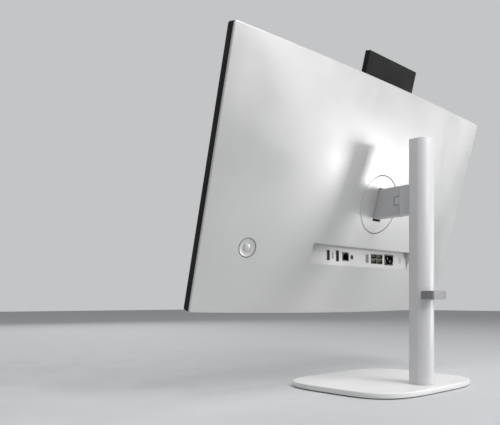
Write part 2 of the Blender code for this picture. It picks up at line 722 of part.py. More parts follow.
def make_hub(head):
    """Round plate flush with the cover, the drum under it, the tilt pin, and the mount on the chassis."""
    bottom, top = slot_limits()
    half = ARM_WIDTH / 2 + HUB_SLOT_SIDE
    plate_under = dome_depth(0, HUB_RADIUS) - HUB_PLATE
    disc = prism("hub_disc", circle(HUB_RADIUS, 64), plate_under, dome_depth(0, 0) + 5 * MM, "silver_paint",
                 head, "Y")
    cut(disc, dome_solid("hub_dome_cutter", 0, 0, 0, None, head), "INTERSECT")
    slot = box("hub_slot_cutter", (-half, 0, bottom), (half, 2 * dome_depth(0, 0), top), None, head)
    cut(disc, slot)
    smooth(disc, 30)

    drum_top = plate_under - GAP
    drum_floor = drum_top - DRUM_DEPTH
    drum = prism("hub_drum", circle(DRUM_RADIUS, 48), drum_floor, drum_top, "black_plastic", head, "Y")
    pocket = box("drum_pocket_cutter", (-half, drum_floor + DRUM_FLOOR, bottom), (half, 2 * drum_top, top),
                 None, head)
    cut(drum, pocket)
    pin_half = min(half + PIN_OVERHANG, DRUM_RADIUS - PIN_END_WALL)
    bore_radius, bore_half = PIN_RADIUS + GAP, pin_half + GAP
    bore = turned("drum_pin_cutter", [(0, -bore_half), (bore_radius, -bore_half), (bore_radius, bore_half),
                                      (0, bore_half)], None, head, 24)
    pin = turned("tilt_pin", [(0, -pin_half), (PIN_RADIUS, -pin_half), (PIN_RADIUS, pin_half), (0, pin_half)],
                 "steel", head, 24)
    for round_piece in (bore, pin):
        round_piece.location = (0, TILT_AXIS_DEPTH, -TILT_AXIS_DROP)
        round_piece.rotation_euler = (0, 0, math.radians(90))
    cut(drum, bore)

    mount_floor = CHASSIS_BACK + GAP
    inner, outer = DRUM_RADIUS + GAP, MOUNT_RADIUS
    mount_top = drum_top - MOUNT_LIP
    turned("hub_mount", [(0, mount_floor), (outer, mount_floor), (outer, mount_top), (inner, mount_top),
                         (inner, drum_floor - GAP), (0, drum_floor - GAP)], "steel", head)


# Display head

def make_screen(head):
    """Frame, glass, panel module and the chassis plate with its standoffs."""
    outline = rounded_rectangle(HEAD_WIDTH, HEAD_HEIGHT, HEAD_CORNER)
    frame = prism("front_frame", outline, -FRAME_DEPTH, -GAP, "dark_plastic", head, "Y")
    opening = rounded_rectangle(HEAD_WIDTH - 2 * FRAME_WALL, HEAD_HEIGHT - 2 * FRAME_WALL,
                                HEAD_CORNER - FRAME_WALL)
    cut(frame, prism("frame_cutter", opening, -2 * FRAME_DEPTH, FRAME_DEPTH, None, head, "Y"))
    edge = FRAME_WALL + GAP
    glass = rounded_rectangle(HEAD_WIDTH - 2 * edge, HEAD_HEIGHT - 2 * edge, HEAD_CORNER - FRAME_WALL)
    prism("front_glass", glass, -FRAME_DEPTH, -FRAME_DEPTH + GLASS_THICKNESS, "screen_glass", head, "Y")
    lcd_front = -FRAME_DEPTH + GLASS_THICKNESS + GAP
    lcd_width = HEAD_WIDTH - 2 * (FRAME_WALL + LCD_SIDE_GAP)
    lcd_height = HEAD_HEIGHT - 2 * FRAME_WALL - LCD_TOP_GAP - LCD_CHIN
    lcd_middle = (LCD_CHIN - LCD_TOP_GAP) / 2
    lcd_size = (lcd_width, lcd_height, -GAP - lcd_front)
    sized_box("lcd_module", (0, lcd_middle), lcd_size, lcd_front, "steel", head)

    plate_height = HEAD_HEIGHT - 2 * (COVER_WALL + CHASSIS_EDGE)
    plate_size = (HEAD_WIDTH - 2 * CHASSIS_SIDE, plate_height, CHASSIS_THICKNESS)
    chassis = sized_box("chassis_plate", (0, 0), plate_size, GAP, "steel", head)
    pads = bmesh.new()
    x, v = BOARD_PLACE
    width, height, _ = BOARD_SIZE
    for sx in (-1, 1):
        for sv in (-1, 1):
            px = x + sx * (width / 2 - STANDOFF_SIZE)
            pv = v + sv * (height / 2 - STANDOFF_SIZE)
            half = STANDOFF_SIZE / 2
            add_box(pads, (px - half, GAP + CHASSIS_THICKNESS / 2, pv - half),
                    (px + half, CHASSIS_BACK + STANDOFF_HEIGHT, pv + half))
    cut(chassis, new_object("standoff_pads", pads, None, head), "UNION")


def make_cover(head):
    """Domed rear shell with openings for the hub, the sockets, the camera, the button and the vents."""
    cover = dome_solid("rear_cover", 0, 0, 0, "silver_paint", head)
    cut(cover, dome_solid("cover_inside_cutter", COVER_WALL, -MM, COVER_WALL, None, head))
    hub_hole = circle(HUB_RADIUS + SEAM, 64)
    cut(cover, prism("hub_hole_cutter", hub_hole, COVER_LIP, 2 * dome_depth(0, 0), None, head, "Y"))
    half = RECESS_WIDTH / 2
    low = (RECESS_MIDDLE - half, COVER_LIP, RECESS_BOTTOM)
    high = (RECESS_MIDDLE + half, 2 * dome_depth(0, 0), RECESS_TOP)
    cut(cover, box("recess_cutter", low, high, None, head))

    camera_half = CAMERA_WIDTH / 2 + SEAM
    low = (-camera_half, CAMERA_FRONT - SEAM, HALF_HEIGHT - 2 * COVER_WALL)
    high = (camera_half, CAMERA_FRONT + CAMERA_THICKNESS + SEAM, HALF_HEIGHT + MM)
    cut(cover, box("camera_slot_cutter", low, high, None, head))
    hole = turned("button_hole_cutter", [(0, -6 * MM), (BUTTON_RADIUS + SEAM, -6 * MM),
                                         (BUTTON_RADIUS + SEAM, 6 * MM), (0, 6 * MM)], None, head)
    place_button(hole)
    cut(cover, hole)

    vents = bmesh.new()
    for wall in (-HALF_HEIGHT, HALF_HEIGHT):
        for side in (-1, 1):
            for slot in range(VENT_COUNT):
                x = side * (VENT_START + slot * VENT_PITCH)
                low = (x - VENT_LENGTH / 2, VENT_DEPTH - VENT_WIDTH / 2, wall - 2 * COVER_WALL)
                high = (x + VENT_LENGTH / 2, VENT_DEPTH + VENT_WIDTH / 2, wall + 2 * COVER_WALL)
                add_box(vents, low, high)
    cut(cover, new_object("vent_cutter", vents, None, head))
    smooth(cover, 25)


def place_button(piece):
    """Puts a piece turned about Y where the power button is, square to the cover's face there."""
    piece.location = (BUTTON_X, dome_depth(BUTTON_X, BUTTON_V), BUTTON_V)
    piece.rotation_mode = "QUATERNION"
    piece.rotation_quaternion = Vector((0, 1, 0)).rotation_difference(dome_normal(BUTTON_X, BUTTON_V))


def make_button(head):
    """Dished round button with a raised dome in its middle and a stem, over its switch."""
    under = -BUTTON_THICKNESS
    profile = [(0, BUTTON_DOME_RISE - BUTTON_DISH)]
    steps = 5
    for step in range(1, steps + 1):
        share = step / steps
        rise = BUTTON_DOME_RISE * (1 - share ** 2)
        profile.append((BUTTON_DOME_RADIUS * share, rise - BUTTON_DISH))
    rim = BUTTON_RADIUS - BUTTON_DOME_RADIUS
    for step in range(1, steps + 1):
        share = step / steps
        profile.append((BUTTON_DOME_RADIUS + rim * share, BUTTON_DISH * (share ** 2 - 1)))
    stem_end = under - BUTTON_STEM
    profile += [(BUTTON_RADIUS, under), (BUTTON_STEM_RADIUS, under), (BUTTON_STEM_RADIUS, stem_end),
                (0, stem_end)]
    place_button(smooth(turned("power_button", profile, "silver_paint", head)))

    top = stem_end - BUTTON_TRAVEL - GAP
    half = SWITCH_SIZE / 2
    floor = CHASSIS_BACK + 2 * GAP + half * abs(dome_normal(BUTTON_X, BUTTON_V).x)
    bottom = floor - dome_depth(BUTTON_X, BUTTON_V)
    place_button(box("button_switch", (-half, bottom, -half), (half, top, half), "black_plastic", head))


# Sockets

def ramp_depth(x, v):
    """Depth of the socket ramp: flush with the cover at the bottom, then upright when the head is at rest."""
    return dome_depth(x, RECESS_BOTTOM) - RECESS_STEP - (v - RECESS_BOTTOM) * math.tan(TILT)


def recess_columns(half):
    """Places across the recess at which its curved section is taken."""
    count = 12
    return [RECESS_MIDDLE + half * (2 * i / count - 1) for i in range(count + 1)]


def make_recess(head, sockets):
    """The tray behind the recess: a ramp with a hole for each socket, a ceiling and two ends."""
    low, high = RECESS_BOTTOM + SEAM, RECESS_TOP - SEAM
    half = RECESS_WIDTH / 2 - SEAM
    sections = []
    for x in recess_columns(half):
        bottom_face = dome_depth(x, low)
        top_face = dome_depth(x, high)
        sections.append([
            (x, bottom_face, low),
            (x, top_face, high),
            (x, ramp_depth(x, high) - RECESS_WALL, high),
            (x, ramp_depth(x, low) - RECESS_WALL, low),
        ])
    tray = lofted("socket_tray", sections, "silver_paint", head)
    ceiling = high - RECESS_CEILING
    under = low - 2 * MM
    sections = []
    for x in recess_columns(half - RECESS_END):
        outside = dome_depth(x, high) + 10 * MM
        sections.append([
            (x, ramp_depth(x, under), under),
            (x, outside, under),
            (x, outside, ceiling),
            (x, ramp_depth(x, ceiling), ceiling),
        ])
    cut(tray, lofted("ramp_cutter", sections, None, head))
    holes = bmesh.new()
    for x, width, height in sockets:
        corners = add_box(holes, (-width / 2 - GAP, -20 * MM, -height / 2 - GAP),
                          (width / 2 + GAP, 20 * MM, height / 2 + GAP))
        turn_upright(holes, corners, x)
    cut(tray, new_object("socket_hole_cutter", holes, None, head))
    smooth(tray, 25)


def turn_upright(bm, verts, x):
    """Moves vertices made round a socket's own middle to its place on the ramp."""
    for vert in verts:
        y, z = vert.co.y, vert.co.z
        vert.co.x += x
        vert.co.y = ramp_depth(x, SOCKET_ROW) + y * math.cos(TILT) - z * math.sin(TILT)
        vert.co.z = SOCKET_ROW + y * math.sin(TILT) + z * math.cos(TILT)


def board_face(x):
    """Depth, from the ramp at x back to the face of the socket board, square to the ramp."""
    drop = (ramp_depth(x, SOCKET_ROW) - ramp_depth(0, SOCKET_ROW)) * math.cos(TILT)
    return -IO_BOARD_BEHIND - drop


def socket(name, x, outline, mouths, finish, head):
    """A socket through the ramp, seated on its board: a body with mouths, each (x0, x1, z0, z1, depth)."""
    bm = bmesh.new()
    add_prism(bm, outline, board_face(x) + GAP, SOCKET_PROUD, "Y")
    body = new_object(name, bm, finish, head)
    body.location = (x, ramp_depth(x, SOCKET_ROW), SOCKET_ROW)
    body.rotation_euler = (TILT, 0, 0)
    for index, (x0, x1, z0, z1, depth) in enumerate(mouths):
        low = (x0, SOCKET_PROUD - depth, z0)
        high = (x1, SOCKET_PROUD + MM, z1)
        mouth = box(f"{name}_mouth_cutter_{index}", low, high, None, head)
        mouth.location = body.location
        mouth.rotation_euler = body.rotation_euler
        cut(body, mouth)
    return body


def rectangle(width, height):
    """Outline of a plain rectangle."""
    return [(-width / 2, -height / 2), (width / 2, -height / 2),
            (width / 2, height / 2), (-width / 2, height / 2)]


def tongued_mouths(width, height, tongue, depth=SHALLOW_MOUTH):
    """The two slots of a mouth left beside a flat tongue that runs along its height."""
    inner_w, inner_h = width / 2 - SOCKET_WALL, height / 2 - SOCKET_WALL
    return [(-inner_w, -tongue / 2, -inner_h, inner_h, depth),
            (tongue / 2, inner_w, -inner_h, inner_h, depth)]


def inlet_outline(half_w, half_h, crop):
    """Rectangle with its two lower corners cropped at 45 degrees."""
    return [(-half_w + crop, -half_h), (half_w - crop, -half_h), (half_w, -half_h + crop),
            (half_w, half_h), (-half_w, half_h), (-half_w, -half_h + crop)]


def make_inlet(head):
    """Mains inlet: a cropped mouth with three flat blades standing in it."""
    half_w, half_h = INLET_SIZE[0] / 2, INLET_SIZE[1] / 2
    outline = inlet_outline(half_w, half_h, INLET_CROP)
    body = socket("mains_inlet", INLET_X, outline, [], "black_plastic", head)
    mouth = bmesh.new()
    mouth_outline = inlet_outline(half_w - INLET_WALL, half_h - INLET_WALL, INLET_CROP - INLET_WALL * 0.6)
    add_prism(mouth, mouth_outline, SOCKET_PROUD - MOUTH_DEPTH, SOCKET_PROUD + MM, "Y")
    cavity = new_object("inlet_mouth_cutter", mouth, None, head)
    blade_w, blade_h = BLADE_SIZE
    pins = bmesh.new()
    for x, z in ((-BLADE_SPREAD, -BLADE_RISE), (BLADE_SPREAD, -BLADE_RISE), (0, BLADE_RISE)):
        add_box(pins, (x - blade_w / 2, SOCKET_PROUD - 2 * MOUTH_DEPTH, z - blade_h / 2),
                (x + blade_w / 2, SOCKET_PROUD - BLADE_BACK, z + blade_h / 2))
    blades = new_object("inlet_blades", pins, None, head)
    for piece in (cavity, blades):
        piece.location = body.location
        piece.rotation_euler = body.rotation_euler
    cut(cavity, blades)
    cut(body, cavity)


def make_sockets(head):
    """Every socket on the ramp, from the display outputs to the mains inlet, and the board behind them."""
    socket("video_socket", VIDEO_X, rectangle(*VIDEO_SIZE), tongued_mouths(*VIDEO_SIZE, TONGUE),
           "black_plastic", head)
    socket("display_socket", DISPLAY_X, rectangle(*DISPLAY_SIZE), tongued_mouths(*DISPLAY_SIZE, TONGUE),
           "black_plastic", head)
    socket("slim_socket", SLIM_X, rounded_rectangle(*SLIM_SIZE, SLIM_SIZE[0] * 0.45),
           tongued_mouths(*SLIM_SIZE, SLIM_TONGUE), "steel", head)
    half_w, top = NETWORK_SIZE[0] / 2 - SOCKET_WALL, NETWORK_SIZE[1] / 2
    shoulder = top - LATCH_HEIGHT
    socket("network_socket", NETWORK_X, rectangle(*NETWORK_SIZE),
           [(-half_w, half_w, -top + SOCKET_WALL, shoulder, MOUTH_DEPTH),
            (-LATCH_HALF, LATCH_HALF, shoulder - MM, top - SOCKET_WALL, MOUTH_DEPTH)], "black_plastic", head)
    socket("audio_socket", AUDIO_X, circle(AUDIO_RADIUS, 20),
           [(-AUDIO_BORE, AUDIO_BORE, -AUDIO_BORE, AUDIO_BORE, SHALLOW_MOUTH)], "black_plastic", head)
    half_w = OPTION_SIZE[0] / 2 - SLAT_INSET
    rows = [(i - (SLAT_COUNT - 1) / 2) * SLAT_PITCH for i in range(SLAT_COUNT)]
    slats = [(-half_w, half_w, z - SLAT_HALF, z + SLAT_HALF, SLAT_DEPTH) for z in rows]
    socket("option_cover", OPTION_X, rectangle(*OPTION_SIZE), slats, "grey_plastic", head)
    half_w, half_h = DATA_SIZE[0] / 2 - SOCKET_WALL, DATA_MOUTH / 2
    storey = DATA_SIZE[1] / 4
    for name, x in zip(("data_stack_inner", "data_stack_outer"), DATA_X):
        mouths = [(-half_w, half_w, z - half_h, z + half_h, MOUTH_DEPTH) for z in (-storey, storey)]
        socket(name, x, rectangle(*DATA_SIZE), mouths, "black_plastic", head)
    make_inlet(head)
    slot_w, slot_h = LOCK_SLOT[0] / 2, LOCK_SLOT[1] / 2
    socket("lock_plate", LOCK_X, rectangle(*LOCK_SIZE), [(-slot_w, slot_w, -slot_h, slot_h, SHALLOW_MOUTH)],
           "silver_paint", head)

    left, right = RECESS_MIDDLE - IO_BOARD_WIDTH / 2, RECESS_MIDDLE + IO_BOARD_WIDTH / 2
    low = (left, -IO_BOARD_BEHIND - BOARD_THICKNESS, -IO_BOARD_HEIGHT / 2)
    high = (right, -IO_BOARD_BEHIND, IO_BOARD_HEIGHT / 2)
    board = box("socket_board", low, high, "circuit_board", head)
    board.location = (0, ramp_depth(0, SOCKET_ROW), SOCKET_ROW)
    board.rotation_euler = (TILT, 0, 0)
    return [(VIDEO_X, *VIDEO_SIZE), (DISPLAY_X, *DISPLAY_SIZE), (SLIM_X, *SLIM_SIZE),
            (NETWORK_X, *NETWORK_SIZE), (AUDIO_X, 2 * AUDIO_RADIUS, 2 * AUDIO_RADIUS),
            (OPTION_X, *OPTION_SIZE), (DATA_X[0], *DATA_SIZE), (DATA_X[1], *DATA_SIZE),
            (INLET_X, *INLET_SIZE), (LOCK_X, *LOCK_SIZE)]


# Camera

def make_camera(head):
    """Pop-up camera in its guide behind the top edge, raised at rest."""
    top = HALF_HEIGHT + CAMERA_RAISED
    half = CAMERA_WIDTH / 2
    back = CAMERA_FRONT + CAMERA_THICKNESS
    low = (-half, CAMERA_FRONT, top - CAMERA_HEIGHT)
    housing = box("camera_housing", low, (half, back, top), "dark_plastic", head, round_edges=CAMERA_CORNER)
    lens_v = top - CAMERA_LENS_DROP
    well = prism("lens_cutter", circle(CAMERA_LENS_RADIUS + GAP, 28, (0, lens_v)),
                 CAMERA_FRONT - MM, CAMERA_FRONT + CAMERA_LENS_WELL, None, head, "Y")
    cut(housing, well)
    prism("camera_lens", circle(CAMERA_LENS_RADIUS, 28, (0, lens_v)),
          CAMERA_FRONT + GAP, CAMERA_FRONT + CAMERA_LENS_WELL - GAP, "screen_glass", head, "Y")

    travel_low = top - CAMERA_HEIGHT - CAMERA_RAISED
    wall = half + SEAM + GUIDE_WALL
    guide_bottom = travel_low - GUIDE_FLOOR - GAP
    guide_top = HALF_HEIGHT - GUIDE_DROP
    front = CHASSIS_BACK + GAP
    guide_back = back + GAP + GUIDE_WALL
    low, high = (-wall, front, guide_bottom), (wall, guide_back, guide_top)
    guide = box("camera_guide", low, high, "black_plastic", head)
    channel = (-half - SEAM, front - MM, travel_low - GAP)
    cut(guide, box("guide_cutter", channel, (half + SEAM, back + GAP, guide_top + MM), None, head))


# Electronics

def make_blower(head):
    """Blower housing with a round intake and an outlet at the top, and its impeller."""
    floor = CHASSIS_BACK + GAP
    half = BLOWER_SIZE / 2
    low = (BLOWER_X - half, floor, BLOWER_V - half)
    high = (BLOWER_X + half, floor + BLOWER_HEIGHT, BLOWER_V + half)
    housing = box("blower_housing", low, high, "black_plastic", head)
    centre = (BLOWER_X, BLOWER_V)
    hollow_low, hollow_high = floor + BLOWER_WALL, floor + BLOWER_HEIGHT - BLOWER_WALL
    cavity = circle(IMPELLER_RADIUS + BLOWER_CLEAR, 40, centre)
    room = prism("blower_room_cutter", cavity, hollow_low, hollow_high, None, head, "Y")
    spindle = prism("blower_spindle", circle(SPINDLE_RADIUS, 16, centre), floor, hollow_high - BLOWER_CLEAR,
                    None, head, "Y")
    cut(room, spindle)
    cut(housing, room)
    intake = circle(INTAKE_RADIUS, 32, centre)
    cut(housing, prism("intake_cutter", intake, hollow_high - MM, 2 * hollow_high, None, head, "Y"))
    outlet_low = (BLOWER_X - IMPELLER_RADIUS * 0.8, hollow_low, BLOWER_V + IMPELLER_RADIUS * 0.5)
    outlet_high = (BLOWER_X + IMPELLER_RADIUS * 0.8, hollow_high, BLOWER_V + BLOWER_SIZE)
    cut(housing, box("outlet_cutter", outlet_low, outlet_high, None, head))

    outline = []
    half_blade = 0.12
    for blade in range(IMPELLER_BLADES):
        angle = math.tau * blade / IMPELLER_BLADES
        sweep = 0.35
        for radius, turn in ((IMPELLER_HUB, -half_blade), (IMPELLER_RADIUS, sweep - half_blade * 0.4),
                             (IMPELLER_RADIUS, sweep + half_blade * 0.4), (IMPELLER_HUB, half_blade)):
            outline.append((radius * math.cos(angle + turn), radius * math.sin(angle + turn)))
    low, high = hollow_low + BLOWER_CLEAR, hollow_high - BLOWER_CLEAR
    impeller = prism("blower_impeller", outline, low, high, "dark_plastic", head, "Y")
    impeller.location = (BLOWER_X, 0, BLOWER_V)
    bore = prism("impeller_bore_cutter", circle(SPINDLE_RADIUS + GAP, 16, centre), 0, 2 * high, None,
                 head, "Y")
    cut(impeller, bore)


def on_board(place):
    """A place that is given from the middle of the board, from the middle of the head instead."""
    return (BOARD_PLACE[0] + place[0], BOARD_PLACE[1] + place[1])


def make_electronics(head):
    """Boards, cooler, supply and speakers, each standing on the chassis or on the board that carries it."""
    board_depth = CHASSIS_BACK + STANDOFF_HEIGHT + GAP
    board_top = board_depth + BOARD_THICKNESS + GAP
    sized_box("motherboard", BOARD_PLACE, BOARD_SIZE, board_depth, "circuit_board", head)
    sized_box("solid_state_drive", on_board(SSD_ON_BOARD), SSD_SIZE, board_top, "circuit_board", head)
    sized_box("memory_module", on_board(MEMORY_ON_BOARD), MEMORY_SIZE, board_top, "circuit_board", head)
    sized_box("wireless_card", on_board(WIFI_ON_BOARD), WIFI_SIZE, board_top, "steel", head)
    x, v = on_board(HEATSINK_ON_BOARD)
    heatsink = sized_box("cpu_heatsink", (x, v), HEATSINK_SIZE, board_top, "copper", head)
    width, height, thickness = HEATSINK_SIZE
    grooves = bmesh.new()
    pitch = width / HEATSINK_FINS
    for i in range(HEATSINK_FINS):
        middle = x - width / 2 + pitch * (i + 0.5)
        add_box(grooves, (middle - pitch / 4, board_top + thickness * 0.4, v - height),
                (middle + pitch / 4, 1, v + height))
    cut(heatsink, new_object("fin_cutter", grooves, None, head))

    blower_under = BLOWER_V - BLOWER_SIZE / 2
    pipe_low = (x - PIPE_WIDTH / 2, board_top, v + height / 2 + GAP)
    pipe_high = (x + PIPE_WIDTH / 2, board_top + PIPE_THICKNESS, blower_under - GAP)
    box("heat_pipe", pipe_low, pipe_high, "copper", head)

    floor = CHASSIS_BACK + GAP
    sized_box("power_supply", SUPPLY_PLACE, SUPPLY_SIZE, floor, "steel", head)
    speaker_x = HALF_WIDTH - SPEAKER_FROM_SIDE
    speaker_v = SPEAKER_FROM_BOTTOM - HALF_HEIGHT
    for name, side in (("speaker_left", -1), ("speaker_right", 1)):
        sized_box(name, (side * speaker_x, speaker_v), SPEAKER_SIZE, floor, "black_plastic", head)
    make_blower(head)


def main():
    for old in list(bpy.data.objects):
        bpy.data.objects.remove(old)
    make_base()
    make_column()
    arm_axis = empty("arm_axis", (0, TILT_AXIS_Y, TILT_AXIS_Z))
    make_arm(arm_axis)
    tilt_axis = empty("tilt_axis", (0, TILT_AXIS_Y, TILT_AXIS_Z), tilt=-TILT)
    head = empty("head_frame", (0, -TILT_AXIS_DEPTH, TILT_AXIS_DROP), tilt_axis)
    make_hub(head)
    make_screen(head)
    make_cover(head)
    make_button(head)
    make_recess(head, make_sockets(head))
    make_camera(head)
    make_electronics(head)


main()
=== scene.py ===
# %% [markdown]
# # An all-in-one computer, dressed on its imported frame
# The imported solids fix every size, place and motion. This lesson rebuilds each visible piece as a finer
# surface in the same place, ties it to the body that carries it, and gives every piece a procedural finish.

# %% Load the frame
import json
import math

import bmesh
import bpy
import numpy as np
from mathutils import Matrix, Vector


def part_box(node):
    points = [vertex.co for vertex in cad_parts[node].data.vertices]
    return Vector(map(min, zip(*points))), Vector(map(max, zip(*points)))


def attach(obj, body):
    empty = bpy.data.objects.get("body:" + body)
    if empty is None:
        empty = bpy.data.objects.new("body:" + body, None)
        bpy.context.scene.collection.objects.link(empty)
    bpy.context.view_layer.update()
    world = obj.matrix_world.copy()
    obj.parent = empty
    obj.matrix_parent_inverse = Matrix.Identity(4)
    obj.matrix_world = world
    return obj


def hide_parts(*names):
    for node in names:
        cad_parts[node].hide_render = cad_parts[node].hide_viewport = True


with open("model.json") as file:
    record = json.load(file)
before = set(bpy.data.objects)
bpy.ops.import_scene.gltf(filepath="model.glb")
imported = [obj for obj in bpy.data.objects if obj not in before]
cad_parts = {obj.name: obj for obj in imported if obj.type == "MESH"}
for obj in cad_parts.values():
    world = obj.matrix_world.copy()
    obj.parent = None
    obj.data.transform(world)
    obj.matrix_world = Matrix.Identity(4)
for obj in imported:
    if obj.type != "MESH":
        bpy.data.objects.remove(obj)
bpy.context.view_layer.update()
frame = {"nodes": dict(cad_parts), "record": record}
MM = 0.001

# %% [markdown]
# ## Camera and light
# Upright edges stay upright when the camera is level, so it is not pitched: the picture is shifted up
# instead. Big area lamps stand in for studio softboxes. The key is high behind the computer. A second one
# stands low to the right, where the cover mirrors it towards the camera: its glow lies on the middle of the
# dome and fades towards the edges, and the column throws a soft shade beside the hub.

# %% Camera
scene = bpy.context.scene
scene.view_settings.view_transform = "Standard"


def look(obj, direction):
    """Turns a camera or lamp so that its -Z runs along a direction, with Z up in its view."""
    obj.rotation_euler = Vector(direction).to_track_quat("-Z", "Y").to_euler()


camera_data = bpy.data.cameras.new("camera")
camera_data.sensor_width = 36
camera_data.lens = 40.757
camera_data.shift_y = 0.1775
camera = bpy.data.objects.new("camera", camera_data)
scene.collection.objects.link(camera)
camera.location = (0.6582, 0.4597, 0.1153)
look(camera, (-0.6686, -0.7437, 0))
scene.camera = camera

# %% Lamps: name, place, target, width in metres, watts
LAMPS = (
    ("key", (-0.05, 0.8, 0.85), (0, 0, 0.28), 0.5, 5),
    ("top", (0.1, 0.7, 2.2), (0, 0, 0.2), 1.2, 17),
    ("right", (-1.6, 1.5, 0.28), (0, 0, 0.28), 0.5, 13),
    ("front", (-0.4, -1.9, 1.3), (0, 0, 0.25), 1.6, 12),
)
for name, place, target, size, power in LAMPS:
    data = bpy.data.lights.new(name, "AREA")
    data.size = size
    data.energy = power
    lamp = bpy.data.objects.new(name, data)
    scene.collection.objects.link(lamp)
    lamp.location = place
    look(lamp, Vector(target) - Vector(place))
print("lamps", len(LAMPS))


# %% [markdown]
# ## Finishes
# Nothing here is painted with pictures. Each finish starts from its real material, then gets a grain of a
# known size in millimetres that touches its colour and its bump, and broad faint patches in its roughness, as
# handling and moulding leave. Moulding grain is 0.1 mm or less on the real thing, too fine for this picture,
# so it is drawn three to five times as coarse.

# %% Colour and node helpers
def linear(text):
    """sRGB hex to linear colour: c / 12.92 up to 0.04045, else ((c + 0.055) / 1.055) ^ 2.4."""
    code = np.array([int(text[i:i + 2], 16) for i in (1, 3, 5)]) / 255
    return [*np.where(code <= 0.04045, code / 12.92, ((code + 0.055) / 1.055) ** 2.4).tolist(), 1.0]


def add_node(tree, kind, links=None, **values):
    """Adds a shader node, sets its properties or sockets by name, and links {socket: output}."""
    node = tree.nodes.new(kind)
    for key, value in values.items():
        if hasattr(node, key):
            setattr(node, key, value)
        else:
            node.inputs[key.replace("_", " ")].default_value = value
    for key, output in (links or {}).items():
        tree.links.new(output, node.inputs[key])
    return node


# %% One recipe for every finish
def finish(name, colour, rough, grain_mm, ior=1.5, metallic=0.0, bump=0.06, shade=0.04, spread=0.08,
           stretch=(1, 1, 1), coat=0.0, patch_mm=60):
    """Colour c (1 ± shade) and bump follow a fine noise; roughness r ± spread follows a broad one."""
    made = bpy.data.materials.new(name)
    made.use_nodes = True
    tree = made.node_tree
    shader = tree.nodes["Principled BSDF"]
    shader.inputs["Metallic"].default_value = metallic
    shader.inputs["IOR"].default_value = ior
    shader.inputs["Coat Weight"].default_value = coat
    shader.inputs["Coat Roughness"].default_value = 0.05 if coat > 0.5 else 0.25
    coords = add_node(tree, "ShaderNodeTexCoord").outputs["Object"]
    mapped = add_node(tree, "ShaderNodeMapping", {"Vector": coords}, Scale=stretch).outputs["Vector"]
    grain = add_node(tree, "ShaderNodeTexNoise", {"Vector": mapped}, Scale=1 / (grain_mm * MM), Detail=3.0,
                     Roughness=0.6).outputs["Fac"]
    broad = add_node(tree, "ShaderNodeTexNoise", {"Vector": coords}, Scale=1 / (patch_mm * MM),
                     Detail=2.0).outputs["Fac"]
    base = np.array(linear(colour)[:3])
    ramp_node = add_node(tree, "ShaderNodeValToRGB", {"Fac": grain})
    for element, place, share in zip(ramp_node.color_ramp.elements, (0.3, 0.7), (1 - shade, 1 + shade)):
        element.position = place
        element.color = [*np.minimum(base * share, 1).tolist(), 1.0]
    tree.links.new(ramp_node.outputs["Color"], shader.inputs["Base Color"])
    patches = add_node(tree, "ShaderNodeMapRange", {"Value": broad}, From_Min=0.3, From_Max=0.7,
                       To_Min=max(0.02, rough - spread), To_Max=min(1.0, rough + spread))
    tree.links.new(patches.outputs["Result"], shader.inputs["Roughness"])
    if bump:
        raised = add_node(tree, "ShaderNodeBump", {"Height": grain}, Strength=bump, Distance=0.2 * MM)
        tree.links.new(raised.outputs["Normal"], shader.inputs["Normal"])
    return made


# %% Plastics and rubber: material, colour, roughness, grain in mm, IOR, metallic, bump, shade
FINISH = {
    # Satin silver paint on moulded ABS: soft, wide highlights and a barely seen sparkle.
    "cover_silver": finish("satin_silver_paint_on_abs", "#cfcfce", 0.43, 0.35, 1.5, 0.4, 0.05, 0.025,
                           coat=0.1),
    # The same paint on sheet steel, a little smoother because it is sprayed on a flat plate. Its colour is
    # painted lighter than the cover's, for the light that falls on the base from above.
    "base_silver": finish("satin_silver_paint_on_steel_painted_lighter", "#f0f0ef", 0.38, 0.4, 1.5, 0.0, 0.04, 0.02,
                          coat=0.15),
    # The recess takes the cover's paint, painted a shade darker for the shade under its ceiling; the lock
    # plate in it takes the same.
    "tray_silver_painted_shade": finish("satin_silver_paint_with_painted_recess_shade", "#c2c2c1", 0.45, 0.35, 1.5, 0.0, 0.05, 0.025,
                          coat=0.1),
    # Moulded grey ABS, left unpainted: even colour, dull sheen.
    "arm_grey": finish("moulded_abs_mid_grey", "#c4c4c6", 0.45, 0.4, 1.54),
    "blank_grey": finish("moulded_abs_dark_grey", "#747476", 0.5, 0.4, 1.54),
    "arm_pale": finish("moulded_abs_pale_grey", "#d0d0d2", 0.42, 0.4, 1.54),
    "clip_grey": finish("moulded_abs_clip_grey", "#868687", 0.42, 0.4, 1.54, 0.0, 0.05, 0.03),
    # Charcoal ABS from a spark-eroded mould: fine even pits that scatter the highlights.
    "frame_dark": finish("textured_abs_charcoal", "#0b0b0c", 0.85, 0.45, 1.46, 0.0, 0.14, 0.12),
    "inner_black": finish("moulded_abs_black", "#121213", 0.6, 0.5, 1.54, 0.0, 0.15, 0.15),
    # Glass-filled nylon connector bodies: black, with a faint fibre mottle.
    "socket_black": finish("moulded_nylon_black", "#151517", 0.45, 0.3, 1.53, 0.0, 0.1, 0.12),
    "screen_module": finish("pressed_polyester_film", "#6c6c6c", 0.5, 0.8, 1.58),
    # Pressed rubber: rough enough that it shows no highlight.
    "foot_rubber": finish("pressed_rubber_black", "#1b1b1b", 0.85, 0.4, 1.52, 0.0, 0.3, 0.15),
    # Green lacquer over woven glass fibre, with the copper tracks as raised mottle.
    "board_green": finish("lacquered_circuit_board", "#1d5138", 0.45, 1.2, 1.5, 0.0, 0.25, 0.3),
}

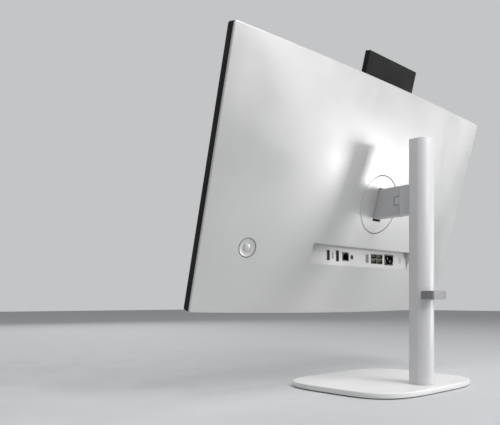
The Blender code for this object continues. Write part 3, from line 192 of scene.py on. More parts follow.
# %% Metals and glass
FINISH |= {
    # Satin anodised aluminium extrusion: the die leaves faint lines along the column.
    "column_metal": finish("anodised_aluminium", "#d6d6d8", 0.5, 0.5, 1.5, 0.15, 0.05, 0.03,
                           stretch=(1, 1, 0.04)),
    # Zinc-plated steel with rolling lines.
    "plate_steel": finish("zinc_plated_steel", "#a7a8aa", 0.35, 0.5, 1.5, 1.0, 0.06, 0.06,
                          stretch=(0.06, 1, 1)),
    "chassis_metal": finish("rolled_aluminium_sheet", "#b5b6b8", 0.4, 0.6, 1.5, 0.9, 0.05, 0.05),
    "cooler_copper": finish("drawn_copper", "#c07a52", 0.35, 0.5, 1.5, 1.0, 0.06, 0.08),
    # Thin plating on connector contacts and shells: clean and bright.
    "contact_gold": finish("gold_plated_contact", "#cda75a", 0.3, 0.4, 1.5, 1.0, 0.04, 0.05),
    "shell_nickel": finish("nickel_plated_shell", "#7e7f82", 0.35, 0.4, 1.5, 1.0, 0.04, 0.05),
    # Polished glass, dark because the panel behind it is off, with faint wipe marks.
    "screen_glass": finish("polished_dark_glass", "#0b0b0d", 0.1, 0.6, 1.52, 0.0, 0.0, 0.1, 0.04,
                           coat=0.6, patch_mm=25),
    # The panel's picture area, seen through the glass: a 0.28 mm pixel pitch softens its sheen.
    "screen_active": finish("dark_display_panel", "#131417", 0.14, 0.28, 1.52, 0.0, 0.0, 0.1, 0.04,
                            coat=0.6, patch_mm=25),
}
# Each imported part takes the finish named by its slot in the frame's record
for row in frame["record"]["subparts"]:
    solid_mesh = frame["nodes"][row["node"]].data
    solid_mesh.materials.clear()
    solid_mesh.materials.append(FINISH[row["material_slot"]])
print("finishes", len(FINISH))

# %% [markdown]
# ## Floor and sky
# A plain pale table, wide enough for every view, and an even pale sky that fills the shadows. The sky is
# seen, and mirrored, brighter than it lights, so the background stays pale while the dome keeps its shading.

# %% Floor and world
FLOOR_HALF = 6
SKY_LIGHT, SKY_SEEN = 0.3, 0.62
floor_mesh = bpy.data.meshes.new("floor")
floor_corners = [(FLOOR_HALF * x, FLOOR_HALF * y, 0) for x, y in ((-1, -1), (1, -1), (1, 1), (-1, 1))]
floor_mesh.from_pydata(floor_corners, [], [(0, 1, 2, 3)])
floor = bpy.data.objects.new("floor", floor_mesh)
scene.collection.objects.link(floor)
floor_mesh.materials.append(finish("matte_pale_floor", "#cfd0d2", 0.7, 4, 1.5, 0.0, 0.02, 0.015))
world = bpy.data.worlds.new("world")
world.use_nodes = True
sky = world.node_tree.nodes["Background"]
sky.inputs["Color"].default_value = linear("#f2f3f5")
paths = add_node(world.node_tree, "ShaderNodeLightPath").outputs
seen = add_node(world.node_tree, "ShaderNodeMath", operation="MAXIMUM")
for index, ray in enumerate(("Is Camera Ray", "Is Glossy Ray")):
    world.node_tree.links.new(paths[ray], seen.inputs[index])
seen = add_node(world.node_tree, "ShaderNodeMath", {0: seen.outputs[0], 1: paths["Is Transmission Ray"]},
                operation="MAXIMUM")
level = add_node(world.node_tree, "ShaderNodeMapRange", {"Value": seen.outputs[0]}, To_Min=SKY_LIGHT,
                 To_Max=SKY_SEEN)
world.node_tree.links.new(level.outputs["Result"], sky.inputs["Strength"])
scene.world = world

# %% [markdown]
# ## Sizes shared with the frame
# The head leans back 15 degrees about its tilt axis. Its pieces are worked out in its own axes: x across, d
# back from the plane where frame and cover meet, and v up the screen. One matrix carries them to the room.

# %% Head axes and the dome
TILT = math.radians(15)
TILT_BACK, TILT_FORWARD = math.radians(20), math.radians(-5)
AXIS = Vector((0, -12.6, 249.2)) * MM
AXIS_DEPTH, AXIS_DROP = 27.8 * MM, 1.9 * MM
HEAD = (Matrix.Translation(AXIS) @ Matrix.Rotation(-TILT, 4, "X")
        @ Matrix.Translation((0, -AXIS_DEPTH, AXIS_DROP)))
HALF_W, HALF_H, CORNER = 270 * MM, 161.5 * MM, 3.5 * MM
LIP, EDGE_RISE, SWELL, WALL = 2 * MM, 11 * MM, 24 * MM, 2 * MM
GAP = 0.3 * MM


def dome(x, v):
    """Depth of the cover: LIP + (EDGE_RISE + SWELL (1 - v^2 / H^2)) (1 - x^2 / W^2)."""
    return LIP + (EDGE_RISE + SWELL * (1 - (v / HALF_H) ** 2)) * (1 - (x / HALF_W) ** 2)


print("dome depth at the middle", round(dome(0, 0) / MM, 1), "mm")


# %% [markdown]
# ## From formulas to meshes
# A solid is a table of points and a list of faces. Every shape below is a loop carried through a few rows, so
# one function turns rows of points into quads, and numpy works out whole rows at once. Where a row shrinks to
# one point, the doubles are merged and the pole is closed.

# %% Rows of points to faces
def lattice(index, wrap=True):
    """Quads (i, j), (i, j + 1), (i + 1, j + 1), (i + 1, j) of a table of numbers, round in j if wrap."""
    beside = np.roll(index, -1, axis=1)
    quads = np.stack([index[:-1], beside[:-1], beside[1:], index[1:]], axis=-1)
    return quads[:, :None if wrap else -1].reshape(-1, 4).tolist()


def skin(rows, caps=(True, True)):
    """A surface through rows of points, each row a closed loop, with a flat face at each end where asked."""
    rows = np.asarray(rows, dtype=float)
    index = np.arange(rows.shape[0] * rows.shape[1]).reshape(rows.shape[:2])
    ends = [index[end].tolist() for end, wanted in zip((0, -1), caps) if wanted]
    return rows.reshape(-1, 3), lattice(index) + ends


def along(loops, levels, axis):
    """Loops of (u, w) at levels: (u, w, level) when they are stacked on z, (u, level, w) on y."""
    loops = np.asarray(loops, dtype=float)
    height = np.broadcast_to(np.asarray(levels, dtype=float)[:, None], loops.shape[:2])
    u, w = loops[..., 0], loops[..., 1]
    return np.stack((u, w, height) if axis == "z" else (u, height, w), axis=-1)


def together(*solids):
    """Several solids as one table, each one's face numbers moved on past the points before it."""
    starts = np.cumsum([0] + [len(points) for points, _ in solids])
    faces = [[i + start for i in face] for start, (_, part) in zip(starts.tolist(), solids) for face in part]
    return np.concatenate([points for points, _ in solids]), faces


def moved(solid, matrix):
    """A solid carried by a 4 x 4 matrix: p' = R p + t."""
    points, faces = solid
    carry = np.array(matrix)
    return points @ carry[:3, :3].T + carry[:3, 3], faces


# %% Loops and simple solids
def arcs(width, height, far, near=None, steps=8):
    """Soft rectangle: (±(w/2 - r) + r cos t, ±(h/2 - r) + r sin t), with r = near at its low side."""
    radius = np.array([far, far] + [far if near is None else near] * 2)[:, None, None]
    turn = np.arange(4)[:, None] * np.pi / 2 + np.linspace(0, np.pi / 2, steps + 1)
    side = np.array([(1, 1), (-1, 1), (-1, -1), (1, -1)])[:, None, :]
    reach = np.array([width, height]) / 2 - radius
    return (side * reach + radius * np.stack([np.cos(turn), np.sin(turn)], axis=-1)).reshape(-1, 2)


def ring(radius, centre=(0, 0), steps=12):
    """A circle, as a square whose corners are all arc."""
    return arcs(2 * radius, 2 * radius, radius, None, steps) + np.asarray(centre)


def soft_box(low, high, roll=0.0, steps=3):
    """A box with rolled edges: at t its outline is taken in by r (1 - sin t), r (1 - cos t) from each end."""
    low, high = np.asarray(low, dtype=float), np.asarray(high, dtype=float)
    turn = np.linspace(0, np.pi / 2, steps + 1) if roll else np.array([np.pi / 2])
    inset, rise = roll * (1 - np.sin(turn)), roll * (1 - np.cos(turn))
    width, depth = (high - low)[:2]
    loops = [arcs(width - 2 * i, depth - 2 * i, roll - i, None, steps if roll else 0) for i in inset]
    rows = along(loops + loops[::-1], np.concatenate([low[2] + rise, (high[2] - rise)[::-1]]), "z")
    rows[..., :2] += (low + high)[:2] / 2
    return skin(rows)


def turned(profile, steps=96):
    """A lathe shape: each (radius r, depth d) becomes the loop (r cos t, d, r sin t)."""
    radius, depth = np.asarray(profile, dtype=float).T[..., None]
    turn = np.arange(steps) * 2 * np.pi / steps
    rows = np.broadcast_arrays(radius * np.cos(turn), depth, radius * np.sin(turn))
    return skin(np.stack(rows, axis=-1), (False, False))


# %% Meshes, cuts and finished pieces
def mesh_of(solid):
    """Puts a solid into a mesh, merges its doubles and turns its faces outwards."""
    points, faces = solid
    mesh = bpy.data.meshes.new("work")
    mesh.from_pydata(points.tolist(), [], faces)
    bm = bmesh.new()
    bm.from_mesh(mesh)
    bmesh.ops.remove_doubles(bm, verts=bm.verts, dist=0.001 * MM)
    bmesh.ops.recalc_face_normals(bm, faces=bm.faces)
    bm.to_mesh(mesh)
    bm.free()
    return mesh


def cut(solid, *cutters, operation="DIFFERENCE"):
    """The first solid with the others taken away, or joined on, as a plain mesh."""
    meshes = [shape if isinstance(shape, bpy.types.Mesh) else mesh_of(shape) for shape in (solid, *cutters)]
    objects = [bpy.data.objects.new("work", mesh) for mesh in meshes]
    for obj in objects:
        scene.collection.objects.link(obj)
    for helper in objects[1:]:
        modifier = objects[0].modifiers.new("cut", "BOOLEAN")
        modifier.operation = operation
        modifier.solver = "EXACT"
        modifier.object = helper
    bpy.context.view_layer.update()
    result = bpy.data.meshes.new_from_object(objects[0].evaluated_get(bpy.context.evaluated_depsgraph_get()))
    for obj in objects:
        bpy.data.objects.remove(obj)
    return result


def piece(name, shape, finish_name, body, replaces=None, place=None, angle=30):
    """Names a shape, moves it to its place, and ties it to a body, a finish and the node it stands for."""
    mesh = shape if isinstance(shape, bpy.types.Mesh) else mesh_of(shape)
    mesh.name = name
    if place is not None:
        mesh.transform(place)
    mesh.shade_smooth()
    mesh.set_sharp_from_angle(angle=math.radians(angle))
    mesh.materials.clear()
    mesh.materials.append(FINISH[finish_name])
    made = bpy.data.objects.new(name, mesh)
    scene.collection.objects.link(made)
    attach(made, body)
    if replaces:
        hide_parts(replaces)
    print(name, len(mesh.polygons), "faces on", body)
    return made


# %% [markdown]
# ## Rear cover
# The real cover is one moulding, 2 mm thick, domed both ways. A lofted or subdivided surface would only come
# near the dome, so the skin is the formula itself on a grid. Grid lines crowd towards the rim, where the skin
# rolls over, and are bent to arcs at the corners. The inside is the same block, smaller.

# %% A block under the dome
RIM_LINES = np.array([0, 0.15, 0.4, 0.8, 1.4, 2.4, 4]) * MM


def grid_line(half):
    """Places along one side: close together in the last few millimetres, even between."""
    rim = half - RIM_LINES
    return np.concatenate([-rim, np.linspace(-rim[-1], rim[-1], 64)[1:-1], rim[::-1]])


def dome_block(inset, drop, base, roll):
    """Within r of the rim, at e from it, depth falls by r - sqrt(r^2 - (r - e)^2); corners bend to arcs."""
    wide, tall, radius = HALF_W - inset, HALF_H - inset, CORNER - inset
    x, v = np.meshgrid(grid_line(wide), grid_line(tall))
    depth = dome(x, v) - drop
    if roll:
        edge = np.clip(np.minimum(wide - np.abs(x), tall - np.abs(v)), 0, roll)
        depth = depth - (roll - np.sqrt(roll ** 2 - (roll - edge) ** 2))
    dx, dv = np.abs(x) - (wide - radius), np.abs(v) - (tall - radius)
    bent = (dx > 0) & (dv > 0)
    pull = np.where(bent, np.maximum(dx, dv) / np.maximum(np.hypot(dx, dv), 1e-9), 1.0)
    x = np.where(bent, np.sign(x) * (wide - radius + dx * pull), x)
    v = np.where(bent, np.sign(v) * (tall - radius + dv * pull), v)
    index = np.arange(x.size).reshape(x.shape)
    border = np.concatenate([index[0], index[1:, -1], index[-1, -2::-1], index[-2:0:-1, 0]])
    top = np.stack([x, depth, v], axis=-1).reshape(-1, 3)
    low = top[border] * (1, 0, 1) + (0, base, 0)
    under = x.size + np.arange(len(border))
    faces = lattice(index, False) + lattice(np.stack([border, under])) + [under.tolist()]
    return np.concatenate([top, low]), faces


# %% Openings in the cover
HUB_R, HUB_HOLE = 39.8 * MM, 40.6 * MM
RECESS_MID, RECESS_HALF, RECESS_LOW, RECESS_HIGH = -6 * MM, 115 * MM, -90 * MM, -62 * MM
CAMERA_HALF, CAMERA_FRONT, CAMERA_BACK = 54.5 * MM, 2 * MM, 10.6 * MM
CAMERA_TOP, CAMERA_TALL = 191 * MM, 48.5 * MM
BUTTON, BUTTON_HOLE = (208 * MM, -78 * MM), 12.2 * MM
SEAM, FAR, COVER_ROLL = 0.5 * MM, 80 * MM, 1.2 * MM
VENT_PLACES, VENT_HALF, VENT_FRONT, VENT_BACK = (74 + 12 * np.arange(10)) * MM, 4 * MM, 2.4 * MM, 4.4 * MM


def dome_normal(x, v):
    """Direction square to the dome: (-dD/dx, 1, -dD/dv), made one long."""
    slope_x = (EDGE_RISE + SWELL * (1 - (v / HALF_H) ** 2)) * -2 * x / HALF_W ** 2
    slope_v = SWELL * -2 * v / HALF_H ** 2 * (1 - (x / HALF_W) ** 2)
    return Vector((-slope_x, 1, -slope_v)).normalized()


BUTTON_PLACE = (Matrix.Translation((BUTTON[0], dome(*BUTTON), BUTTON[1]))
                @ Vector((0, 1, 0)).rotation_difference(dome_normal(*BUTTON)).to_matrix().to_4x4())


def plug(radius, start, end):
    """A round cutter from one depth to another."""
    return turned([(0, start), (radius, start), (radius, end), (0, end)])


vents = [soft_box((side * x - VENT_HALF, VENT_FRONT, edge - 2 * WALL),
                  (side * x + VENT_HALF, VENT_BACK, edge + 2 * WALL))
         for edge in (-HALF_H, HALF_H) for side in (-1, 1) for x in VENT_PLACES]
openings = together(
    plug(HUB_HOLE, LIP, FAR),
    soft_box((RECESS_MID - RECESS_HALF, LIP, RECESS_LOW), (RECESS_MID + RECESS_HALF, FAR, RECESS_HIGH)),
    soft_box((-CAMERA_HALF - SEAM, CAMERA_FRONT - SEAM, HALF_H - 2 * WALL),
             (CAMERA_HALF + SEAM, CAMERA_BACK + SEAM, HALF_H + MM)),
    moved(plug(BUTTON_HOLE, -6 * MM, 6 * MM), BUTTON_PLACE), *vents)
cover = cut(dome_block(0, 0, 0, COVER_ROLL), dome_block(WALL, WALL, -MM, 0), openings)
piece("rear_cover_skin", cover, "cover_silver", "head", "rear_cover", HEAD, 25)

# %% [markdown]
# ## Hub plate
# A round plate lies flush in the cover and the head turns about it. Its top is the dome again, on a polar
# grid, so that it runs on from the cover with no step; its rim is rolled, which draws the fine dark ring
# round it, and a black ring in the gap below is painted shade. The slot is as tall as the arm needs at both
# ends of the tilt.

# %% Polar grid on the dome
plate_radii = np.concatenate([np.linspace(0, HUB_R - MM, 24), HUB_R - np.array([0.6, 0.3, 0.1, 0]) * MM])
PLATE_ROLL, PLATE_THICK, PLATE_DEPTH = 0.8 * MM, 2.4 * MM, dome(0, 40 * MM)
turn = np.arange(96) * 2 * np.pi / 96
px, pv = plate_radii[:, None] * np.cos(turn), plate_radii[:, None] * np.sin(turn)
rim_gap = np.clip(HUB_R - plate_radii, 0, PLATE_ROLL)[:, None]
fall = PLATE_ROLL - np.sqrt(PLATE_ROLL ** 2 - (PLATE_ROLL - rim_gap) ** 2)
plate_rows = np.stack([px, dome(px, pv) - fall, pv], axis=-1)
plate_under = plate_rows[-1] * (1, 0, 1) + (0, PLATE_DEPTH - PLATE_THICK, 0)
plate = skin(np.concatenate([plate_rows, plate_under[None]]), (False, True))

# %% The arm's slot
ARM_HALF_W, ARM_HALF_H, ARM_SPARE = 8 * MM, 19.5 * MM, 0.7 * MM
reach = PLATE_DEPTH - AXIS_DEPTH
slot_high = reach * math.tan(TILT_BACK) + ARM_HALF_H / math.cos(TILT_BACK) - AXIS_DROP + ARM_SPARE
slot_low = reach * math.tan(TILT_FORWARD) - ARM_HALF_H / math.cos(TILT_FORWARD) - AXIS_DROP - ARM_SPARE
slot_half = ARM_HALF_W + ARM_SPARE
slot = soft_box((-slot_half, 0, slot_low), (slot_half, FAR, slot_high), PLATE_ROLL)
piece("hub_plate", cut(plate, slot), "cover_silver", "tilt_hub", "hub_disc", HEAD)

# %% Black ring in the gap round the plate: painted shade, for the shade down in the gap
gap_shade_profile = np.array([(39.85, 0.5), (40.2, 0.45), (40.5, 0.5), (40.5, 1.6), (39.85, 1.6), (39.85, 0.5)]) * MM
sx, sv = gap_shade_profile[:, :1] * np.cos(turn), gap_shade_profile[:, :1] * np.sin(turn)
gap_shade_rows = np.stack([sx, dome(sx, sv) - gap_shade_profile[:, 1:], sv], axis=-1)
piece("hub_gap_painted_shade", skin(gap_shade_rows, (False, False)), "inner_black", "tilt_hub", None, HEAD)

# %% [markdown]
# ## Power button
# A round cap in a dished seat, with a raised dome in its middle. All of it is turned, so it is one profile on
# a lathe: dome, fine groove, dish, skirt and stem.

# %% Button profile
share = np.linspace(0, 1, 12)
domed = np.stack([5.2 * share, 1.3 * (1 - share ** 2) - 1.0], axis=-1)
groove = np.array([(5.25, -1.7), (5.85, -1.7)])
dished = np.stack([5.95 + 5.1 * share, 1.05 * (share ** 2 - 1)], axis=-1)
skirt = np.array([(11.17, -0.08), (11.25, -0.3), (11.25, -2.6), (3, -2.6), (3, -5.6), (0, -5.6)])
button = turned(np.concatenate([domed, groove, dished, skirt]) * MM)
piece("power_button_cap", button, "cover_silver", "button", "power_button", HEAD @ BUTTON_PLACE, 40)
# A black ring under the gap round the cap: painted shade, for the shade down in the gap.
button_gap_shade_profile = np.array([(11.45, -1.9), (12.15, -1.9), (12.15, -0.5), (11.45, -0.5), (11.45, -1.9)]) * MM
piece("power_button_gap_painted_shade", turned(button_gap_shade_profile), "inner_black", "head", None, HEAD @ BUTTON_PLACE)

# %% [markdown]
# ## Pop-up camera
# A flat dark box that slides up behind the top edge, with its lens and four microphone holes on the screen
# side and the join of its two mouldings down each end.

# %% Camera case and lens
lens_v = CAMERA_TOP - 11 * MM
on_front = Matrix.Translation((0, CAMERA_FRONT, lens_v))
well = moved(plug(3.5 * MM, -MM, 2 * MM), on_front)
sound_holes = [moved(turned([(0, -MM), (0.6 * MM, -MM), (0.6 * MM, 1.2 * MM), (0, 1.2 * MM)], 20),
                     on_front @ Matrix.Translation((x * MM, 0, 0))) for x in (-30, -27, 27, 30)]
joins = [soft_box((side * CAMERA_HALF - 0.25 * MM, CAMERA_BACK - 3.2 * MM, 150 * MM),
                  (side * CAMERA_HALF + 0.25 * MM, CAMERA_BACK - 2.85 * MM, 195 * MM)) for side in (-1, 1)]
case = soft_box((-CAMERA_HALF, CAMERA_FRONT, CAMERA_TOP - CAMERA_TALL),
                (CAMERA_HALF, CAMERA_BACK, CAMERA_TOP), 1.5 * MM, 5)
case = cut(case, well, together(*sound_holes, *joins))
piece("camera_case", case, "frame_dark", "camera", "camera_housing", HEAD, 35)
bulge = np.stack([3.0 * share, 0.35 + 0.35 * share ** 2], axis=-1)
lens = np.concatenate([bulge, [(3.2, 0.9), (3.2, 1.7), (0, 1.7)]]) * MM
piece("camera_lens_glass", moved(turned(lens, 64), on_front), "screen_glass", "camera", "camera_lens", HEAD)

# %% [markdown]
# ## Front frame and screen
# The frame is a thin dark band round the head: one small section carried round a rounded rectangle. Glass
# fills it almost to the edge, with the picture area a hair below its face.

# %% Frame band
def frame_loop(inset):
    """Outline of the head, taken in by inset, with its corner radius reduced to match."""
    return arcs(2 * (HALF_W - inset), 2 * (HALF_H - inset), max(CORNER - inset, 0.6 * MM))


band = np.array([(0, -0.6), (0.3, -0.3), (2, -0.3), (2, -9.7), (1.7, -10), (0.7, -10), (0.2, -9.8), (0, -9.3),
                 (0, -0.6)]) * MM
rows = along([frame_loop(inset) for inset in band[:, 0]], band[:, 1], "y")
piece("front_frame_ring", skin(rows, (False, False)), "frame_dark", "head", "front_frame", HEAD)

# %% Glass and picture area
glass = skin(along([frame_loop(i * MM) for i in (2.3, 2.3, 2.5)], np.array([-8.8, -9.8, -10]) * MM, "y"))
shallow = soft_box((-263.5 * MM, -10.2 * MM, -141 * MM), (263.5 * MM, -9.97 * MM, 155.5 * MM))
piece("screen_face", cut(glass, shallow), "screen_glass", "head", "front_glass", HEAD)
picture = soft_box((-263.4 * MM, -9.985 * MM, -140.9 * MM), (263.4 * MM, -9.965 * MM, 155.4 * MM))
piece("screen_picture_area", picture, "screen_active", "head", None, HEAD)

# %% [markdown]
# ## Arm
# Two mouldings meet at a seam: the front one has a notch in each side, and the rear one a tongue that fills
# it. Both are hollow for the steel core. They are boxes with rolled edges, cut and joined. The front end is
# raked, so that it stays in the plate's slot from top to bottom when the screen leans back.

# %% Arm covers
def arm_box(half_w, start, end, half_h, roll=0.0):
    """A box about the arm's own line, from start to end behind the tilt axis, in millimetres."""
    return soft_box((-half_w * MM, AXIS.y + start * MM, AXIS.z - half_h * MM),
                    (half_w * MM, AXIS.y + end * MM, AXIS.z + half_h * MM), roll, 4)


def side_tabs(outer, inner, start, end, half_h):
    """The same box on both sides of the arm, between two distances from its middle, in millimetres."""
    middle, half = (outer + inner) / 2, (outer - inner) / 2
    return together(*[moved(arm_box(half, start, end, half_h), Matrix.Translation((side * middle * MM, 0, 0)))
                      for side in (-1, 1)])


def raked(solid, limit, slope):
    """A solid whose end in front of a limit leans along the hub plate: y' = y - slope (top - z)."""
    points, faces = solid
    lean = slope * (points[:, 2].max() - points[:, 2])
    return points - (0, 1, 0) * np.where(points[:, 1] < limit, lean, 0)[:, None], faces


ARM_ROLL, ARM_RAKE = 1.2 * MM, 0.22
tunnel = arm_box(4.8, -40, 110, 12.3)
nose = raked(arm_box(8, 9, 44.85, 19.5, ARM_ROLL), AXIS.y + 20 * MM, ARM_RAKE)
front = cut(nose, side_tabs(9, 5.4, 37.1, 46, 5.9), tunnel)
piece("arm_front", front, "arm_grey", "carriage", "arm_cover_front", None, 35)
rear = cut(arm_box(8, 45.15, 62.7, 19.5, ARM_ROLL), side_tabs(7.8, 6, 38, 47, 5), operation="UNION")
piece("arm_rear", cut(rear, tunnel), "arm_pale", "carriage", "arm_cover_rear", None, 35)

# %% [markdown]
# ## Column, cap and cable clip
# The column is an extrusion: flat sides, a faint edge, a round back, and a channel for the arm. The clip is a
# loop that hugs its back: the column's own outline, grown by the fit, is cut out of it.

# %% Column and cap
COLUMN_FRONT, COLUMN_MID, COLUMN_BACK = 51 * MM, 64 * MM, 77 * MM
COLUMN_HALF, COLUMN_ROUND, COLUMN_CORNER, COLUMN_EDGE = 15.2 * MM, 15.5 * MM, 3 * MM, 0.8 * MM
CHANNEL_HALF, CHANNEL_LOW, CHANNEL_HIGH = 5.5 * MM, 68.5 * MM, 321 * MM


def column_loop(inset):
    """Section taken in by inset: front corner, rolled rear edge, arc of radius R, then all mirrored."""
    half, radius = COLUMN_HALF - inset, COLUMN_ROUND - inset
    corner, edge = max(COLUMN_CORNER - inset, MM), max(COLUMN_EDGE - inset, 0.2 * MM)
    middle = COLUMN_BACK - COLUMN_ROUND
    rise = math.sqrt((radius - edge) ** 2 - (half - edge) ** 2)
    meet = math.atan2(rise, half - edge)
    parts = ((half - corner, COLUMN_FRONT + inset + corner, corner, -math.pi / 2, 0),
             (half - edge, middle + rise, edge, 0, meet), (0, middle, radius, meet, math.pi / 2))
    side = np.concatenate([np.stack([x + r * np.cos(t), y + r * np.sin(t)], axis=-1)
                           for x, y, r, t in [(*p[:3], np.linspace(*p[3:], 12)) for p in parts]])
    return np.concatenate([side, (side * (-1, 1))[-2::-1]])


def column_block(steps):
    """The section carried up through (inset, level) steps, in millimetres."""
    return skin(along([column_loop(i * MM) for i, _ in steps], [z * MM for _, z in steps], "z"))


tube = column_block([(0, 8.5), (0, 324.4), (0.18, 324.82), (0.6, 325)])
channel = soft_box((-CHANNEL_HALF, COLUMN_FRONT - MM, CHANNEL_LOW),
                   (CHANNEL_HALF, COLUMN_FRONT + 3 * MM, CHANNEL_HIGH))
tube = cut(tube, column_block([(2, 0), (2, 400)]), channel)
piece("column_tube", tube, "column_metal", "stand", "column_shell")
piece("column_lid", column_block([(2.3, 322), (2.3, 324.5), (2.8, 325)]), "arm_pale", "stand", "column_cap")

# %% Cable clip
CLIP_NEAR, CLIP_FAR, CLIP_LOW, CLIP_HIGH = 70.2 * MM, 87.8 * MM, 118 * MM, 128.5 * MM
CLIP_WIDTH, CLIP_WALL, CLIP_ROLL, LOOP_NEAR = 33 * MM, 2.6 * MM, 0.4 * MM, 78.86 * MM


def clip_loop(inset):
    """Outer loop of the clip: square where it meets the column, round at its far corners."""
    depth = CLIP_FAR - CLIP_NEAR - 2 * inset
    return arcs(CLIP_WIDTH - 2 * inset, depth, 3 * MM - inset, 0.6 * MM) + (0, (CLIP_FAR + CLIP_NEAR) / 2)


clip_level = [CLIP_LOW, CLIP_LOW + CLIP_ROLL, CLIP_HIGH - CLIP_ROLL, CLIP_HIGH]
clip = skin(along([clip_loop(i) for i in (CLIP_ROLL, 0, 0, CLIP_ROLL)], clip_level, "z"))
loop_half = CLIP_WIDTH / 2 - CLIP_WALL
loop_hole = soft_box((-loop_half, LOOP_NEAR, CLIP_LOW - 18 * MM),
                     (loop_half, CLIP_FAR - CLIP_WALL, CLIP_HIGH + 11.5 * MM), 1.2 * MM)
seat = column_block([(-0.3, 100), (-0.3, 140)])
piece("cable_loop", cut(clip, loop_hole, seat), "clip_grey", "stand", "cable_clip")

# %% [markdown]
# ## Base, feet and bolts
# The base is a soft square: a superellipse, which has no straight side and no true corner, with a small round
# on its edge. Underneath are a steel weight, four rubber feet and the bolts that hold the column.

# %% Base plate
BASE_HALF, BASE_TOP, BASE_ROUND = np.array([115, 91.5]) * MM, 8.2 * MM, 1.6 * MM
BOLT_X, FOOT_X, FOOT_Y, FOOT_HOLE = (-9 * MM, 9 * MM), 81 * MM, 60 * MM, 9.3 * MM


def base_loop(inset):
    """|x / a|^4 + |y / b|^4 = 1, as x = a sgn(cos t) |cos t|^(1/2), y = b sgn(sin t) |sin t|^(1/2)."""
    t = np.arange(192) * 2 * np.pi / 192
    half = BASE_HALF - inset
    around = np.stack([np.cos(t), np.sin(t)], axis=-1)
    return half * np.sign(around) * np.sqrt(np.abs(around))


def post(loop, low, high):
    """A loop carried straight up."""
    return skin(along([loop, loop], [low, high], "z"))


quarter = np.linspace(np.pi / 2, 0, 7)
edge_inset = np.concatenate([np.array([1.4, 0.4, 0]) * MM, BASE_ROUND * (1 - np.sin(quarter))])
edge_level = np.concatenate([np.array([1.2, 1.6, 2.6]) * MM, BASE_TOP - BASE_ROUND * (1 - np.cos(quarter))])
slab = skin(along([base_loop(i) for i in edge_inset], edge_level, "z"))
foot_holes = [post(ring(FOOT_HOLE, (x, y)), 0, 2.2 * MM)
              for x in (-FOOT_X, FOOT_X) for y in (-FOOT_Y, FOOT_Y)]
weight_pocket = post(arcs(130 * MM, 90 * MM, 12 * MM), 0, 4.2 * MM)
drill = together(*[post(ring(2.8 * MM, (x, COLUMN_MID)), 0, 10 * MM) for x in BOLT_X])
sink = together(*[post(ring(4.8 * MM, (x, COLUMN_MID)), 0, 4 * MM) for x in BOLT_X])
base = cut(slab, together(weight_pocket, *foot_holes), drill, sink)
# The base wears the lighter copy of the cover's paint: painted light from above.
piece("base_top", base, "base_silver", "stand", "base_plate")

# %% Feet and bolts
for node in ("foot_front_left", "foot_front_right", "foot_rear_left", "foot_rear_right"):
    middle = sum(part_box(node), Vector((0, 0, 0))) / 2
    loops = [ring(r * MM, middle[:2]) for r in (8.4, 9, 9)]
    pad = skin(along(loops, np.array([0, 0.5, 1.9]) * MM, "z"))
    piece(node + "_pad", pad, "foot_rubber", "stand", node)
for node, x in zip(("column_bolt_left", "column_bolt_right"), BOLT_X):
    loops = [ring(r * MM, (x, COLUMN_MID)) for r in (4.2, 4.5, 4.5, 2.5, 2.5)]
    bolt = skin(along(loops, np.array([1.2, 1.5, 3.7, 3.7, 19.2]) * MM, "z"))
    hexagon = np.stack([np.cos(np.arange(6) * np.pi / 3), np.sin(np.arange(6) * np.pi / 3)], -1) * 2.3 * MM
    key_hole = post(hexagon + (x, COLUMN_MID), 0, 2.8 * MM)
    piece(node + "_screw", cut(bolt, key_hole), "plate_steel", "stand", node)


# %% [markdown]
# ## Socket recess
# Below the hub a shallow tray is let into the cover. Its floor is a ramp that stands upright in the room when
# the head is at rest, flush with the dome at its lower edge and deepest under its ceiling. The ramp follows
# the dome across, so its sections are taken every few millimetres and joined.

# %% Ramp and tray
ROW, RAMP_STEP, TRAY_FIT, TRAY_WALL = -77.3 * MM, 0.4 * MM, 0.12 * MM, 0.5 * MM
# Middle across, width and height of each socket, in millimetres
SOCKETS = {"video_socket": (71.2, 5.4, 13.4), "slim_socket": (62.4, 3.2, 9.0),
           "display_socket": (53, 5.8, 14.6), "network_socket": (36, 13.4, 11.6),
           "audio_socket": (22.6, 5.4, 5.4), "option_cover": (-12.6, 6.4, 11.4),
           "data_stack_inner": (-28.8, 13.8, 13.6), "data_stack_outer": (-43.8, 13.8, 13.6),
           "mains_inlet": (-68.4, 23.4, 15.4), "lock_plate": (-101, 5.4, 8.0)}


def ramp(x, v):
    """Depth of the ramp: the dome at the lower edge less 0.4 mm, then (v - low) tan(tilt) deeper."""
    return dome(x, RECESS_LOW) - RAMP_STEP - (v - RECESS_LOW) * math.tan(TILT)


def socket_place(x):
    """Carries a piece made round a socket's own middle to its place on the ramp, upright in the room."""
    return HEAD @ Matrix.Translation((x, ramp(x, ROW), ROW)) @ Matrix.Rotation(TILT, 4, "X")


def across(half, section):
    """A solid through the sections at 49 places across the recess; section(x) gives loops of (depth, v)."""
    x = RECESS_MID + np.linspace(-half, half, 49)
    corners = [np.broadcast_arrays(x, depth, v) for depth, v in section(x)]
    return skin(np.stack([np.stack(corner, axis=-1) for corner in corners], axis=1))


